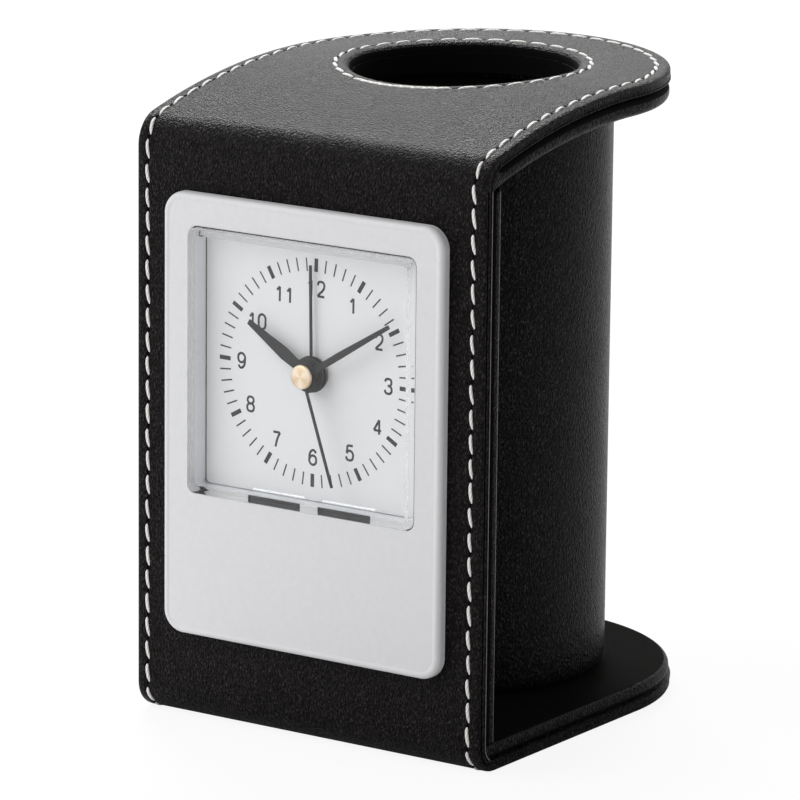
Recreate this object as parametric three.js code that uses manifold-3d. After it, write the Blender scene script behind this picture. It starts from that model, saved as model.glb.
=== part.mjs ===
// Desk clock pen holder: a stitched leather wrap bent into a C holds a round pen cup,
// and a quartz alarm clock is set into its front.
// Millimetres, +Z up, the dial faces -Y, the origin is the middle of the footprint.
// Depths are counted from the leather's front face, backwards.

import * as THREE from 'three';
import { mergeVertices } from 'three/addons/utils/BufferGeometryUtils.js';
import Module from 'manifold-3d';

const wasm = await Module();
wasm.setup();

// Leather wrap and its three boards
const BODY_WIDTH = 72.6;
const DIAL_HEIGHT = 65;
const TOP_ABOVE_DIAL = 47.5;
const BASE_OVERHANG = 4;
const TOP_ARCH_RADIUS = 155;
const TOP_BEND_RADIUS = 6;
const BASE_BEND_RADIUS = 5;
const WRAP_THICKNESS = 2;
const BOARD_THICKNESS = 3.2;
const BASE_BOARD_THICKNESS = 2.6;
const BOARD_INSET = 0.2;
const GLUE_GAP = 0.3;

// Pen cup
const CUP_MOUTH_RADIUS = 20;
const CUP_LIP = 0.5;
const TUBE_RADIUS = 26.5;
const TUBE_SKIN = 0.8;
const TUBE_WALL = 2;
const REACH_GAP = 2.8;

// Bezel, crystal and dial
const CRYSTAL_SIZE = 46.8;
const CRYSTAL_CORNER = 2.5;
const CRYSTAL_EDGE = 1;
const CRYSTAL_PANE = 1.2;
const CRYSTAL_WALL = 1.4;
const BEZEL_OVERLAP = 2.5;
const BEZEL_ABOVE = 5.8;
const BEZEL_BELOW = 25.7;
const BEZEL_THICKNESS = 2;
const BEZEL_CORNER = 4;
const BEZEL_EDGE = 1.2;
const BEZEL_SKIRT = 1.2;
const DIAL_DEPTH = 2.1;
const DIAL_THICKNESS = 0.6;
const CLIP_SLOT_LENGTH = 11;
const CLIP_SLOT_SPACING = 3.7;

// Hands: lengths from the axis, and the time that they show
const HOUR_HAND_LENGTH = 14.8;
const MINUTE_HAND_LENGTH = 20.2;
const SECOND_HAND_LENGTH = 19.6;
const ALARM_HAND_LENGTH = 18.9;
const HOUR_HAND_WIDTH = 2.3;
const MINUTE_HAND_WIDTH = 1.8;
const THIN_HAND_WIDTH = 0.5;
const HAND_ROOT_SHARE = 0.6;
const HAND_TIP_SHARE = 0.4;
const HAND_BELLY_SHARE = 0.4;
const HOUR_HAND_ANGLE = 301.5;
const MINUTE_HAND_ANGLE = 58;
const SECOND_HAND_ANGLE = 161.5;
const ALARM_HAND_ANGLE = 359;
const HAND_THICKNESS = 0.3;
const HAND_PITCH = 0.85;
const HAND_RIM = 0.6;
const CAP_RADIUS = 2.1;
const CAP_HEIGHT = 0.6;

// Nested arbors and gears
const ARBOR_RADIUS = 0.5;
const ARBOR_WALL = 0.5;
const ARBOR_GAP = 0.2;
const SETTING_ARBOR_RADIUS = 1;
const GEAR_MODULE = 0.5;
const TOOTH_ROOT_SHARE = 0.54;
const TOOTH_TIP_SHARE = 0.18;
const TOOTH_RISE_SHARE = 0.7;
const MINUTE_TEETH = 10;
const SETTING_TEETH = 30;
const SETTING_PINION_TEETH = 8;
const HOUR_TEETH = 32;
const ALARM_TEETH = 32;
const ALARM_PINION_TEETH = 12;
const WHEEL_THICKNESS = 1;
const LAYER_GAP = 0.5;
const SETTING_BEARING = 110;
const ALARM_BEARING = 250;

// Clock case, its battery and its controls
const CASE_WALL = 1.6;
const CASE_FLANGE = 2.5;
const BACK_THICKNESS = 1.5;
const BATTERY_LENGTH = 44.5;
const BATTERY_DIAMETER = 10.5;
const BATTERY_GAP = 0.5;
const CONTACT_SPACE = 2.75;
const CONTACT_WIDTH = 6;
const CONTACT_THICKNESS = 0.4;
const RAIL_LIP = 1;
const RIB_THICKNESS = 2;
const SCREW_HEAD_RADIUS = 2.2;
const SCREW_SHANK_RADIUS = 0.7;
const SCREW_LENGTH = 6;
const BOSS_RADIUS = 2.3;
const KNOB_RADIUS = 4;
const KNOB_HEIGHT = 2.4;
const KNOB_FLUTES = 18;
const DRIVE_WIDTH = 24;
const DRIVE_HEIGHT = 15;
const DRIVE_DEPTH = 3.6;
const POST_RADIUS = 1.5;
const BOARD_PLATE = 1;
const CHIP_HEIGHT = 0.8;
const BUZZER_RADIUS = 7;
const BUZZER_DEPTH = 3;
const SWITCH_LENGTH = 6;
const SWITCH_WIDTH = 4;
const SWITCH_TRAVEL = 3;
const CONTROL_RISE = 10;

// Clearances
const SEAT_GAP = 0.1;
const FIT_GAP = 0.2;
const RUN_GAP = 0.3;
const CUT_PAST = 1;

// Facets
const ROUND = 64;
const SMALL_ROUND = 20;
const SCREW_ROUND = 12;
const BEND_STEPS = 6;
const CORNER_STEPS = 4;
const ARCH_STEPS = 12;

// Depths of the layers, from the leather's face backwards
const boardFront = WRAP_THICKNESS + GLUE_GAP;
const boardBack = boardFront + BOARD_THICKNESS;
const alarmHandBack = DIAL_DEPTH - HAND_THICKNESS;
const hourHandBack = alarmHandBack - HAND_PITCH;
const minuteHandBack = hourHandBack - HAND_PITCH;
const secondHandBack = minuteHandBack - HAND_PITCH;
const capBack = secondHandBack - HAND_THICKNESS;
const capFront = capBack - CAP_HEIGHT;
const crystalFront = capFront - RUN_GAP - CRYSTAL_PANE;
const plateFront = DIAL_DEPTH + DIAL_THICKNESS + SEAT_GAP;
const plateBack = plateFront + CASE_WALL;
const alarmWheelFront = plateBack + LAYER_GAP;
const hourWheelFront = alarmWheelFront + WHEEL_THICKNESS + LAYER_GAP;
const settingWheelFront = hourWheelFront + WHEEL_THICKNESS + LAYER_GAP;
const driveFront = settingWheelFront + WHEEL_THICKNESS + LAYER_GAP;
const driveBack = driveFront + DRIVE_DEPTH;
const circuitFront = driveBack + SEAT_GAP;
const circuitBack = circuitFront + BOARD_PLATE + CHIP_HEIGHT;
const bayDepth = BATTERY_DIAMETER + 2 * BATTERY_GAP;
const caseFront = SEAT_GAP;
const caseBack = Math.max(plateBack + bayDepth, circuitBack + RUN_GAP);
const backFront = caseBack + SEAT_GAP;
const backBack = backFront + BACK_THICKNESS;
const cupAxis = backBack + REACH_GAP + TUBE_RADIUS;
const bodyDepth = cupAxis + BODY_WIDTH / 2 + BASE_OVERHANG;
const frontY = -(bodyDepth + crystalFront) / 2;

// Heights of the wrap
const bodyHeight = DIAL_HEIGHT + TOP_ABOVE_DIAL;
const archCentre = bodyHeight - TOP_ARCH_RADIUS;
const bendReach = TOP_ARCH_RADIUS - TOP_BEND_RADIUS;
const bendRun = cupAxis - TOP_BEND_RADIUS;
const bendHeight = archCentre + Math.sqrt(bendReach ** 2 - bendRun ** 2);
const archStart = Math.atan2(bendHeight - archCentre, -bendRun);
const baseTop = WRAP_THICKNESS + GLUE_GAP + BASE_BOARD_THICKNESS;
const topStack = boardBack + GLUE_GAP;

// Clock case outline, from the dial's centre
const windowHalf = CRYSTAL_SIZE / 2 + FIT_GAP;
const chamberHalf = windowHalf + BEZEL_SKIRT + FIT_GAP;
const bayHalf = BATTERY_LENGTH / 2 + CONTACT_SPACE;
const caseHalf = Math.max(chamberHalf, bayHalf) + CASE_WALL;
const caseTop = chamberHalf + CASE_WALL;
const bayTop = -chamberHalf - CASE_WALL;
const bayBottom = bayTop - bayDepth;
const caseBottom = bayBottom - CASE_WALL;
const coverSplit = bayTop + CASE_WALL + RUN_GAP;
const batteryHeight = (bayTop + bayBottom) / 2;
const batteryDepth = plateBack + BATTERY_GAP + BATTERY_DIAMETER / 2;

// Arbors: radii outwards from the seconds arbor, and the two that set the hands
const minuteBore = ARBOR_RADIUS + ARBOR_GAP;
const minuteTube = minuteBore + ARBOR_WALL;
const hourBore = minuteTube + ARBOR_GAP;
const hourTube = hourBore + ARBOR_WALL;
const alarmBore = hourTube + ARBOR_GAP;
const alarmTube = alarmBore + ARBOR_WALL;
const settingReach = GEAR_MODULE * (MINUTE_TEETH + SETTING_TEETH) / 2;
const alarmReach = GEAR_MODULE * (ALARM_TEETH + ALARM_PINION_TEETH) / 2;
const wheelReach = GEAR_MODULE * ALARM_TEETH / 2;
const settingPlace = clockwise(SETTING_BEARING, settingReach);
const alarmPlace = clockwise(ALARM_BEARING, alarmReach);

// A point at a dial angle, counted clockwise from twelve
function clockwise(degrees, radius) {
  const angle = THREE.MathUtils.degToRad(degrees);
  return { x: radius * Math.sin(angle), z: radius * Math.cos(angle) };
}

// Closed mesh to solid and back
function solid(geometry) {
  const bare = geometry.index ? geometry.toNonIndexed() : geometry.clone();
  bare.deleteAttribute('normal');
  bare.deleteAttribute('uv');
  const merged = mergeVertices(bare, 1e-4);
  return new wasm.Manifold(new wasm.Mesh({
    numProp: 3,
    vertProperties: new Float32Array(merged.attributes.position.array),
    triVerts: new Uint32Array(merged.index.array),
  }));
}

function geometryOf(manifold) {
  const mesh = manifold.getMesh();
  const geometry = new THREE.BufferGeometry();
  geometry.setAttribute('position', new THREE.BufferAttribute(mesh.vertProperties, 3));
  geometry.setIndex(new THREE.BufferAttribute(mesh.triVerts, 1));
  geometry.computeVertexNormals();
  return geometry;
}

// Prisms of an outline: across the width, through the depth, and upwards
function acrossWidth(shape, half, steps = BEND_STEPS) {
  const options = { depth: 2 * half, bevelEnabled: false, curveSegments: steps };
  const geometry = new THREE.ExtrudeGeometry(shape, options);
  const turn = new THREE.Matrix4().makeBasis(
    new THREE.Vector3(0, 1, 0), new THREE.Vector3(0, 0, 1), new THREE.Vector3(1, 0, 0));
  return solid(geometry.applyMatrix4(turn).translate(-half, 0, 0));
}

function throughDepth(shape, front, back, steps = CORNER_STEPS) {
  const options = { depth: back - front, bevelEnabled: false, curveSegments: steps };
  const geometry = new THREE.ExtrudeGeometry(shape, options);
  return solid(geometry.rotateX(Math.PI / 2).translate(0, back, 0));
}

function upwards(shape, bottom, top, steps = ROUND) {
  const options = { depth: top - bottom, bevelEnabled: false, curveSegments: steps };
  return solid(new THREE.ExtrudeGeometry(shape, options).translate(0, 0, bottom));
}

// Plate with a rounded front edge and a square back edge
function softPlate(shape, front, back, edge) {
  const geometry = new THREE.ExtrudeGeometry(shape, {
    depth: 2 * (back - front) - 2 * edge,
    bevelThickness: edge,
    bevelSize: edge,
    bevelOffset: -edge,
    bevelSegments: 3,
    curveSegments: CORNER_STEPS,
  });
  const plate = solid(geometry.rotateX(Math.PI / 2).translate(0, 2 * back - front - edge, 0));
  const span = 2 * BODY_WIDTH;
  const behind = box(-span, span, back, back + span, -span, span);
  return plate.subtract(behind);
}

function box(left, right, front, back, bottom, top) {
  const geometry = new THREE.BoxGeometry(right - left, back - front, top - bottom);
  return solid(geometry.translate((left + right) / 2, (front + back) / 2, (bottom + top) / 2));
}

// Revolved outline about the depth axis: points are radius and depth
function revolved(points, segments = SMALL_ROUND) {
  const outline = points.map(([radius, depth]) => new THREE.Vector2(radius, depth));
  if (THREE.ShapeUtils.area(outline) < 0) outline.reverse();
  outline.push(outline[0].clone());
  return solid(new THREE.LatheGeometry(outline, segments));
}

function rod(radius, front, back, x = 0, z = 0, segments = SMALL_ROUND) {
  const bar = revolved([[0, front], [radius, front], [radius, back], [0, back]], segments);
  return bar.translate([x, 0, z]);
}

function roundedRectangle(left, right, bottom, top, radius) {
  const shape = new THREE.Shape();
  shape.moveTo(left + radius, bottom);
  shape.lineTo(right - radius, bottom);
  shape.absarc(right - radius, bottom + radius, radius, -Math.PI / 2, 0, false);
  shape.lineTo(right, top - radius);
  shape.absarc(right - radius, top - radius, radius, 0, Math.PI / 2, false);
  shape.lineTo(left + radius, top);
  shape.absarc(left + radius, top - radius, radius, Math.PI / 2, Math.PI, false);
  shape.lineTo(left, bottom + radius);
  shape.absarc(left + radius, bottom + radius, radius, Math.PI, 1.5 * Math.PI, false);
  return shape;
}

function square(half, radius) {
  return roundedRectangle(-half, half, -half, half, radius);
}

// Side profile: all that lies inside the wrap's outer face, drawn in by an offset
function insideWrap(offset, half) {
  const rear = bodyDepth + BODY_WIDTH;
  const steps = (from, to, count) => Array.from(
    { length: count + 1 }, (_, index) => from + (to - from) * index / count);
  const arc = (depth, height, radius, from, to, count) => steps(from, to, count).map(
    (angle) => new THREE.Vector2(depth + radius * Math.cos(angle), height + radius * Math.sin(angle)));
  const baseBend = arc(BASE_BEND_RADIUS, BASE_BEND_RADIUS, BASE_BEND_RADIUS - offset,
    1.5 * Math.PI, Math.PI, BEND_STEPS);
  const topBend = arc(TOP_BEND_RADIUS, bendHeight, TOP_BEND_RADIUS - offset,
    Math.PI, archStart, BEND_STEPS);
  const arch = arc(cupAxis, archCentre, TOP_ARCH_RADIUS - offset, archStart, Math.PI / 2, ARCH_STEPS);
  const rearEdge = [new THREE.Vector2(rear, bodyHeight - offset), new THREE.Vector2(rear, offset)];
  const outline = [...baseBend, ...topBend, ...arch.slice(1), ...rearEdge];
  return acrossWidth(new THREE.Shape(outline.reverse()), half);
}

// All that lies below the top's underside at an offset from its outer face
function underTop(offset, half) {
  const radius = TOP_ARCH_RADIUS - offset;
  const frontReach = cupAxis + TOP_BEND_RADIUS;
  const start = Math.PI - Math.acos(frontReach / radius);
  const shape = new THREE.Shape();
  shape.moveTo(cupAxis - frontReach, -BODY_WIDTH);
  shape.lineTo(bodyDepth + BODY_WIDTH, -BODY_WIDTH);
  shape.lineTo(bodyDepth + BODY_WIDTH, bodyHeight - offset);
  shape.lineTo(cupAxis, bodyHeight - offset);
  shape.absarc(cupAxis, archCentre, radius, Math.PI / 2, start, false);
  return acrossWidth(shape, half, ARCH_STEPS);
}

// Footprint of the wrap or of a board: straight sides and a half round rear, longer at the base
function footprint(inset) {
  const half = BODY_WIDTH / 2 - inset;
  const flap = (centre, bottom, top) => {
    const shape = new THREE.Shape();
    shape.moveTo(-half, -BODY_WIDTH);
    shape.lineTo(half, -BODY_WIDTH);
    shape.lineTo(half, centre);
    shape.absarc(0, centre, half, 0, Math.PI, false);
    return upwards(shape, bottom, top, ROUND / 2);
  };
  const top = flap(cupAxis, DIAL_HEIGHT, bodyHeight + BODY_WIDTH);
  return top.add(flap(cupAxis + BASE_OVERHANG, -BODY_WIDTH, DIAL_HEIGHT));
}

function cupHole(radius) {
  const shape = new THREE.Shape().absarc(0, cupAxis, radius, 0, 2 * Math.PI, false);
  return upwards(shape, DIAL_HEIGHT, bodyHeight + BODY_WIDTH, ROUND / 2);
}

function clockHole() {
  const half = caseHalf + FIT_GAP;
  const bottom = DIAL_HEIGHT + caseBottom - FIT_GAP;
  const top = DIAL_HEIGHT + caseTop + FIT_GAP;
  return box(-half, half, -BODY_WIDTH, cupAxis - TUBE_RADIUS, bottom, top);
}

function wrap() {
  const shell = insideWrap(0, BODY_WIDTH).subtract(insideWrap(WRAP_THICKNESS, 2 * BODY_WIDTH));
  const trimmed = shell.intersect(footprint(0));
  return trimmed.subtract(cupHole(CUP_MOUTH_RADIUS)).subtract(clockHole());
}

function boardSpace() {
  return insideWrap(boardFront, BODY_WIDTH).intersect(footprint(BOARD_INSET));
}

function topBoard() {
  const sheet = boardSpace().subtract(underTop(boardBack, 2 * BODY_WIDTH));
  const lowerPart = box(-BODY_WIDTH, BODY_WIDTH, -BODY_WIDTH, 2 * bodyDepth, -BODY_WIDTH, DIAL_HEIGHT);
  return sheet.subtract(lowerPart).subtract(cupHole(CUP_MOUTH_RADIUS + CUP_LIP));
}

function baseBoard() {
  const slab = box(-BODY_WIDTH, BODY_WIDTH, -BODY_WIDTH, 2 * bodyDepth, 0, baseTop);
  return boardSpace().intersect(slab);
}

function frontBoard() {
  const slab = box(-BODY_WIDTH, BODY_WIDTH, 0, boardBack, baseTop + GLUE_GAP, 2 * bodyHeight);
  const panel = boardSpace().intersect(slab).intersect(underTop(topStack, 2 * BODY_WIDTH));
  return panel.subtract(clockHole());
}

// Upright tube of the cup, cut to the arch of the top
function cupTube(bore, radius) {
  const ring = new THREE.Shape().absarc(0, cupAxis, radius, 0, 2 * Math.PI, false);
  ring.holes.push(new THREE.Path().absarc(0, cupAxis, bore, 0, 2 * Math.PI, true));
  const blank = upwards(ring, baseTop + GLUE_GAP, bodyHeight, ROUND / 2);
  return blank.intersect(underTop(topStack, BODY_WIDTH));
}

// Toothed wheel with straight flanks; phase turns the first tooth clockwise from twelve
function gear(teeth, front, back, phase) {
  const pitch = 2 * Math.PI / teeth;
  const pitchRadius = GEAR_MODULE * teeth / 2;
  const root = pitchRadius - GEAR_MODULE;
  const tip = pitchRadius + TOOTH_RISE_SHARE * GEAR_MODULE;
  const rootShare = TOOTH_ROOT_SHARE / 2;
  const tipShare = TOOTH_TIP_SHARE / 2;
  const corners = [[-rootShare, root], [-tipShare, tip], [tipShare, tip], [rootShare, root]];
  const points = [];
  for (let tooth = 0; tooth < teeth; tooth += 1) {
    for (const [share, radius] of corners) {
      const angle = phase + (tooth + share) * pitch;
      points.push(new THREE.Vector2(radius * Math.sin(angle), radius * Math.cos(angle)));
    }
  }
  return throughDepth(new THREE.Shape(points.reverse()), front, back);
}

// Hub that presses a hand's blade onto the tube that carries it
function handOnTube(blade, back, tube, rim) {
  const front = back - HAND_THICKNESS;
  const bore = rod(tube + SEAT_GAP, front - CUT_PAST, back + CUT_PAST);
  return blade.add(rod(tube + rim, front, back)).subtract(bore);
}

// Hand blanks point at twelve: a leaf with a wide belly, or a thin pointer
function leafHand(length, width, back, tube) {
  const half = width / 2;
  const root = half * HAND_ROOT_SHARE;
  const tip = half * HAND_TIP_SHARE;
  const belly = length * HAND_BELLY_SHARE;
  const shape = new THREE.Shape();
  shape.moveTo(-root, 0);
  shape.lineTo(root, 0);
  shape.lineTo(half, belly);
  shape.lineTo(tip, length);
  shape.lineTo(-tip, length);
  shape.lineTo(-half, belly);
  return handOnTube(throughDepth(shape, back - HAND_THICKNESS, back), back, tube, 2 * HAND_RIM);
}

function thinHand(length, back, tube, rim) {
  const half = THIN_HAND_WIDTH / 2;
  const blade = box(-half, half, back - HAND_THICKNESS, back, 0, length);
  return handOnTube(blade, back, tube, rim);
}

// Clock front
const bezelBack = -SEAT_GAP;
const bezelFront = bezelBack - BEZEL_THICKNESS;
const bezelHalf = caseHalf + BEZEL_OVERLAP;
const bezelTop = CRYSTAL_SIZE / 2 + BEZEL_ABOVE;
const bezelBottom = -CRYSTAL_SIZE / 2 - BEZEL_BELOW;
const skirtBack = plateFront - RUN_GAP;

function bezel() {
  const outline = roundedRectangle(-bezelHalf, bezelHalf, bezelBottom, bezelTop, BEZEL_CORNER);
  const plate = softPlate(outline, bezelFront, bezelBack, BEZEL_EDGE);
  const skirtHalf = windowHalf + BEZEL_SKIRT;
  const skirt = throughDepth(square(skirtHalf, CRYSTAL_CORNER), bezelBack - BEZEL_EDGE / 2, skirtBack);
  const window = square(windowHalf, CRYSTAL_CORNER);
  return plate.add(skirt).subtract(throughDepth(window, bezelFront - CUT_PAST, skirtBack + CUT_PAST));
}

// The crystal's rim stands on the dial
function crystal() {
  const half = CRYSTAL_SIZE / 2;
  const back = DIAL_DEPTH - SEAT_GAP;
  const outer = softPlate(square(half, CRYSTAL_CORNER), crystalFront, back, CRYSTAL_EDGE);
  const pocket = square(half - CRYSTAL_WALL, CRYSTAL_CORNER - CRYSTAL_WALL / 2);
  return outer.subtract(throughDepth(pocket, crystalFront + CRYSTAL_PANE, back + CUT_PAST));
}

// Dial card: two clip slots in its lower edge, under the crystal's rim
function dial() {
  const half = CRYSTAL_SIZE / 2;
  const front = DIAL_DEPTH - CUT_PAST;
  const card = throughDepth(square(half, CRYSTAL_CORNER), DIAL_DEPTH, DIAL_DEPTH + DIAL_THICKNESS);
  const slotStart = CLIP_SLOT_SPACING / 2;
  const slotEnd = slotStart + CLIP_SLOT_LENGTH;
  const slotTop = CRYSTAL_WALL - half;
  const slots = box(slotStart, slotEnd, front, plateFront, -half - CUT_PAST, slotTop)
    .add(box(-slotEnd, -slotStart, front, plateFront, -half - CUT_PAST, slotTop));
  return card.subtract(slots).subtract(rod(alarmTube + RUN_GAP, front, plateFront));
}

// Clock case: front plate, walls, battery bay, bosses and the rails of the battery's cover
const bossPlace = chamberHalf - BOSS_RADIUS - FIT_GAP;
const postPlace = (wheelReach + GEAR_MODULE + POST_RADIUS + RUN_GAP) * Math.SQRT1_2;
const ribPlace = BATTERY_LENGTH / 4;
const lipFront = backBack + FIT_GAP;

function clockCase() {
  const body = box(-caseHalf, caseHalf, caseFront, caseBack, caseBottom, caseTop);
  const flangeHalf = caseHalf + CASE_FLANGE;
  const flangeFront = boardBack + SEAT_GAP;
  const flange = box(-flangeHalf, flangeHalf, flangeFront, flangeFront + CASE_WALL,
    caseBottom - CASE_FLANGE, caseTop + CASE_FLANGE);
  const pastFront = caseFront - CUT_PAST;
  const pastBack = caseBack + CUT_PAST;
  const tray = box(-chamberHalf, chamberHalf, pastFront, plateFront, -chamberHalf, chamberHalf);
  const chamber = box(-chamberHalf, chamberHalf, plateBack, pastBack, -chamberHalf, chamberHalf);
  const bay = box(-bayHalf, bayHalf, plateBack, pastBack, bayBottom, bayTop);
  const relief = box(-bayHalf, bayHalf, pastFront, plateFront, bayBottom, bayTop - CASE_WALL);
  let shell = body.add(flange).subtract(tray).subtract(chamber).subtract(bay).subtract(relief);
  const plateMiddle = (plateFront + plateBack) / 2;
  const screwEnd = caseBack - SCREW_LENGTH - RUN_GAP;
  for (const side of [-1, 1]) {
    for (const level of [-1, 1]) {
      const x = side * bossPlace;
      const z = level * bossPlace;
      const hole = rod(SCREW_SHANK_RADIUS + FIT_GAP, screwEnd, pastBack, x, z);
      shell = shell.add(rod(BOSS_RADIUS, plateMiddle, caseBack, x, z)).subtract(hole);
    }
    const post = rod(POST_RADIUS, plateMiddle, driveFront - SEAT_GAP, side * postPlace, postPlace);
    const ribLeft = side * ribPlace - RIB_THICKNESS / 2;
    const rib = box(ribLeft, ribLeft + RIB_THICKNESS, plateMiddle, batteryDepth,
      bayBottom - CASE_WALL / 2, bayTop + CASE_WALL / 2);
    shell = shell.add(post).add(rib);
  }
  const railFront = caseBack - CASE_WALL;
  const railBack = lipFront + RAIL_LIP;
  const rails = [
    box(-caseHalf, caseHalf, railFront, railBack, caseBottom, bayBottom),
    box(-caseHalf, caseHalf, lipFront, railBack, caseBottom, bayBottom + RAIL_LIP),
    box(-caseHalf, caseHalf, railFront, railBack, bayTop, bayTop + CASE_WALL),
    box(-caseHalf, caseHalf, lipFront, railBack, bayTop - RAIL_LIP, bayTop + CASE_WALL),
    box(-caseHalf, CASE_WALL - caseHalf, railFront, railBack, caseBottom, bayTop),
  ];
  for (const rail of rails) shell = shell.add(rail);
  const cellRadius = BATTERY_DIAMETER / 2 + RUN_GAP;
  const cellSpace = solid(new THREE.CylinderGeometry(cellRadius, cellRadius, 2 * bayHalf, ROUND / 2)
    .rotateZ(Math.PI / 2));
  shell = shell.subtract(cellSpace.translate([0, batteryDepth, batteryHeight]));
  const bore = (radius, x, z) => rod(radius, plateFront - CUT_PAST, plateBack + LAYER_GAP / 2, x, z);
  for (const { x, z } of [settingPlace, alarmPlace]) {
    shell = shell.subtract(bore(SETTING_ARBOR_RADIUS + FIT_GAP, x, z));
  }
  return shell.subtract(bore(alarmTube + RUN_GAP, 0, 0));
}

// Rear cover over the gears: holes for the two setting arbors, sound holes, a slot for the switch
const controlHeight = CONTROL_RISE - chamberHalf;
const switchPlace = { x: -wheelReach - SWITCH_LENGTH, z: controlHeight };
const buzzerPlace = { x: chamberHalf - BUZZER_RADIUS - BOSS_RADIUS, z: controlHeight };
const stemHalf = SWITCH_LENGTH / 5;
const stemHeight = SWITCH_WIDTH / 5;
const soundRadius = BUZZER_RADIUS / 7;

function caseCover() {
  let plate = box(-caseHalf, caseHalf, backFront, backBack, coverSplit, caseTop);
  const pastFront = backFront - CUT_PAST;
  const pastBack = backBack + CUT_PAST;
  const drill = (radius, x, z) => rod(radius, pastFront, pastBack, x, z);
  for (const place of [settingPlace, alarmPlace]) {
    plate = plate.subtract(drill(SETTING_ARBOR_RADIUS + FIT_GAP, place.x, place.z));
  }
  for (const side of [-1, 1]) {
    for (const level of [-1, 1]) {
      plate = plate.subtract(drill(SCREW_SHANK_RADIUS + FIT_GAP, side * bossPlace, level * bossPlace));
    }
  }
  for (const step of [-1, 0, 1]) {
    plate = plate.subtract(drill(soundRadius, buzzerPlace.x + 3 * soundRadius * step, buzzerPlace.z));
  }
  const slotHalf = stemHalf + SWITCH_TRAVEL / 2 + RUN_GAP;
  const slotHeight = stemHeight + RUN_GAP;
  return plate.subtract(box(switchPlace.x - slotHalf, switchPlace.x + slotHalf, pastFront, pastBack,
    switchPlace.z - slotHeight, switchPlace.z + slotHeight));
}

// Battery cover: slides sideways out of its rails, with three grip ribs
function batteryCover() {
  const left = CASE_WALL + FIT_GAP - caseHalf;
  let cover = box(left, caseHalf, backFront, backBack, bayBottom + FIT_GAP, bayTop - FIT_GAP);
  const gripHalf = bayDepth / 2 - 2 * RAIL_LIP;
  for (const step of [1, 2, 3]) {
    const x = caseHalf - 2 * step * RAIL_LIP;
    const grip = box(x - RAIL_LIP / 2, x + RAIL_LIP / 2, backBack - RAIL_LIP / 2, backBack + RAIL_LIP / 2,
      batteryHeight - gripHalf, batteryHeight + gripHalf);
    cover = cover.add(grip);
  }
  return cover;
}

function caseScrew() {
  const seat = backBack + SEAT_GAP;
  const head = SCREW_HEAD_RADIUS;
  const shank = SCREW_SHANK_RADIUS;
  const point = caseBack - SCREW_LENGTH;
  return revolved([[0, point], [shank, point + shank], [shank, seat], [head, seat],
    [head, seat + shank], [shank, seat + 2 * shank], [0, seat + 2 * shank]], SCREW_ROUND);
}

// Battery and its two leaf contacts
function battery() {
  const half = BATTERY_LENGTH / 2;
  const radius = BATTERY_DIAMETER / 2;
  const nub = radius / 3;
  const shoulder = half - nub / 2;
  const lathe = revolved([[0, -half], [radius, -half], [radius, shoulder], [nub, shoulder],
    [nub, half], [0, half]], ROUND / 2);
  return lathe.rotate([0, 0, -90]);
}

function contact(side) {
  const wall = bayHalf - SEAT_GAP;
  const touch = BATTERY_LENGTH / 2 + SEAT_GAP;
  const half = BATTERY_DIAMETER / 3;
  const bow = new THREE.Shape();
  bow.moveTo(wall - CONTACT_THICKNESS, -half);
  bow.lineTo(wall, -half);
  bow.quadraticCurveTo(2 * touch - wall + 2 * CONTACT_THICKNESS, 0, wall, half);
  bow.lineTo(wall - CONTACT_THICKNESS, half);
  bow.quadraticCurveTo(2 * touch - wall + CONTACT_THICKNESS, 0, wall - CONTACT_THICKNESS, -half);
  const front = batteryDepth - CONTACT_WIDTH / 2;
  const leaf = throughDepth(bow, front, front + CONTACT_WIDTH).translate([0, 0, batteryHeight]);
  return side > 0 ? leaf : leaf.rotate([0, 0, 180]).translate([0, 2 * batteryDepth, 0]);
}

// Motion work: each wheel carries the tube of its hand
function tubeBore(radius, handBack, back) {
  return rod(radius, handBack - HAND_THICKNESS - CUT_PAST, back + CUT_PAST);
}

function alarmWheel() {
  const back = alarmWheelFront + WHEEL_THICKNESS;
  const teeth = gear(ALARM_TEETH, alarmWheelFront, back, 0);
  const tube = rod(alarmTube, alarmHandBack - HAND_THICKNESS, back);
  return teeth.add(tube).subtract(tubeBore(alarmBore, alarmHandBack, back));
}

function hourWheel() {
  const back = hourWheelFront + WHEEL_THICKNESS;
  const teeth = gear(HOUR_TEETH, hourWheelFront, back, 0);
  const tube = rod(hourTube, hourHandBack - HAND_THICKNESS, back);
  return teeth.add(tube).subtract(tubeBore(hourBore, hourHandBack, back));
}

function minutePinion() {
  const back = settingWheelFront + WHEEL_THICKNESS;
  const teeth = gear(MINUTE_TEETH, settingWheelFront, back, 0);
  const tube = rod(minuteTube, minuteHandBack - HAND_THICKNESS, back);
  return teeth.add(tube).subtract(tubeBore(minuteBore, minuteHandBack, back));
}

function secondArbor() {
  const front = secondHandBack - HAND_THICKNESS;
  return rod(ARBOR_RADIUS, front, driveBack - RUN_GAP);
}

// Tooth phase that puts a gap of the driven wheel where a tooth of the driver points
function meshPhase(driverTeeth, drivenTeeth, bearing) {
  const line = THREE.MathUtils.degToRad(bearing);
  const driverPitch = 2 * Math.PI / driverTeeth;
  const drivenPitch = 2 * Math.PI / drivenTeeth;
  const driverShare = (line / driverPitch) % 1;
  return line + Math.PI + drivenPitch * (driverShare + 0.5);
}

const knobFront = backBack + RUN_GAP;

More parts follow.
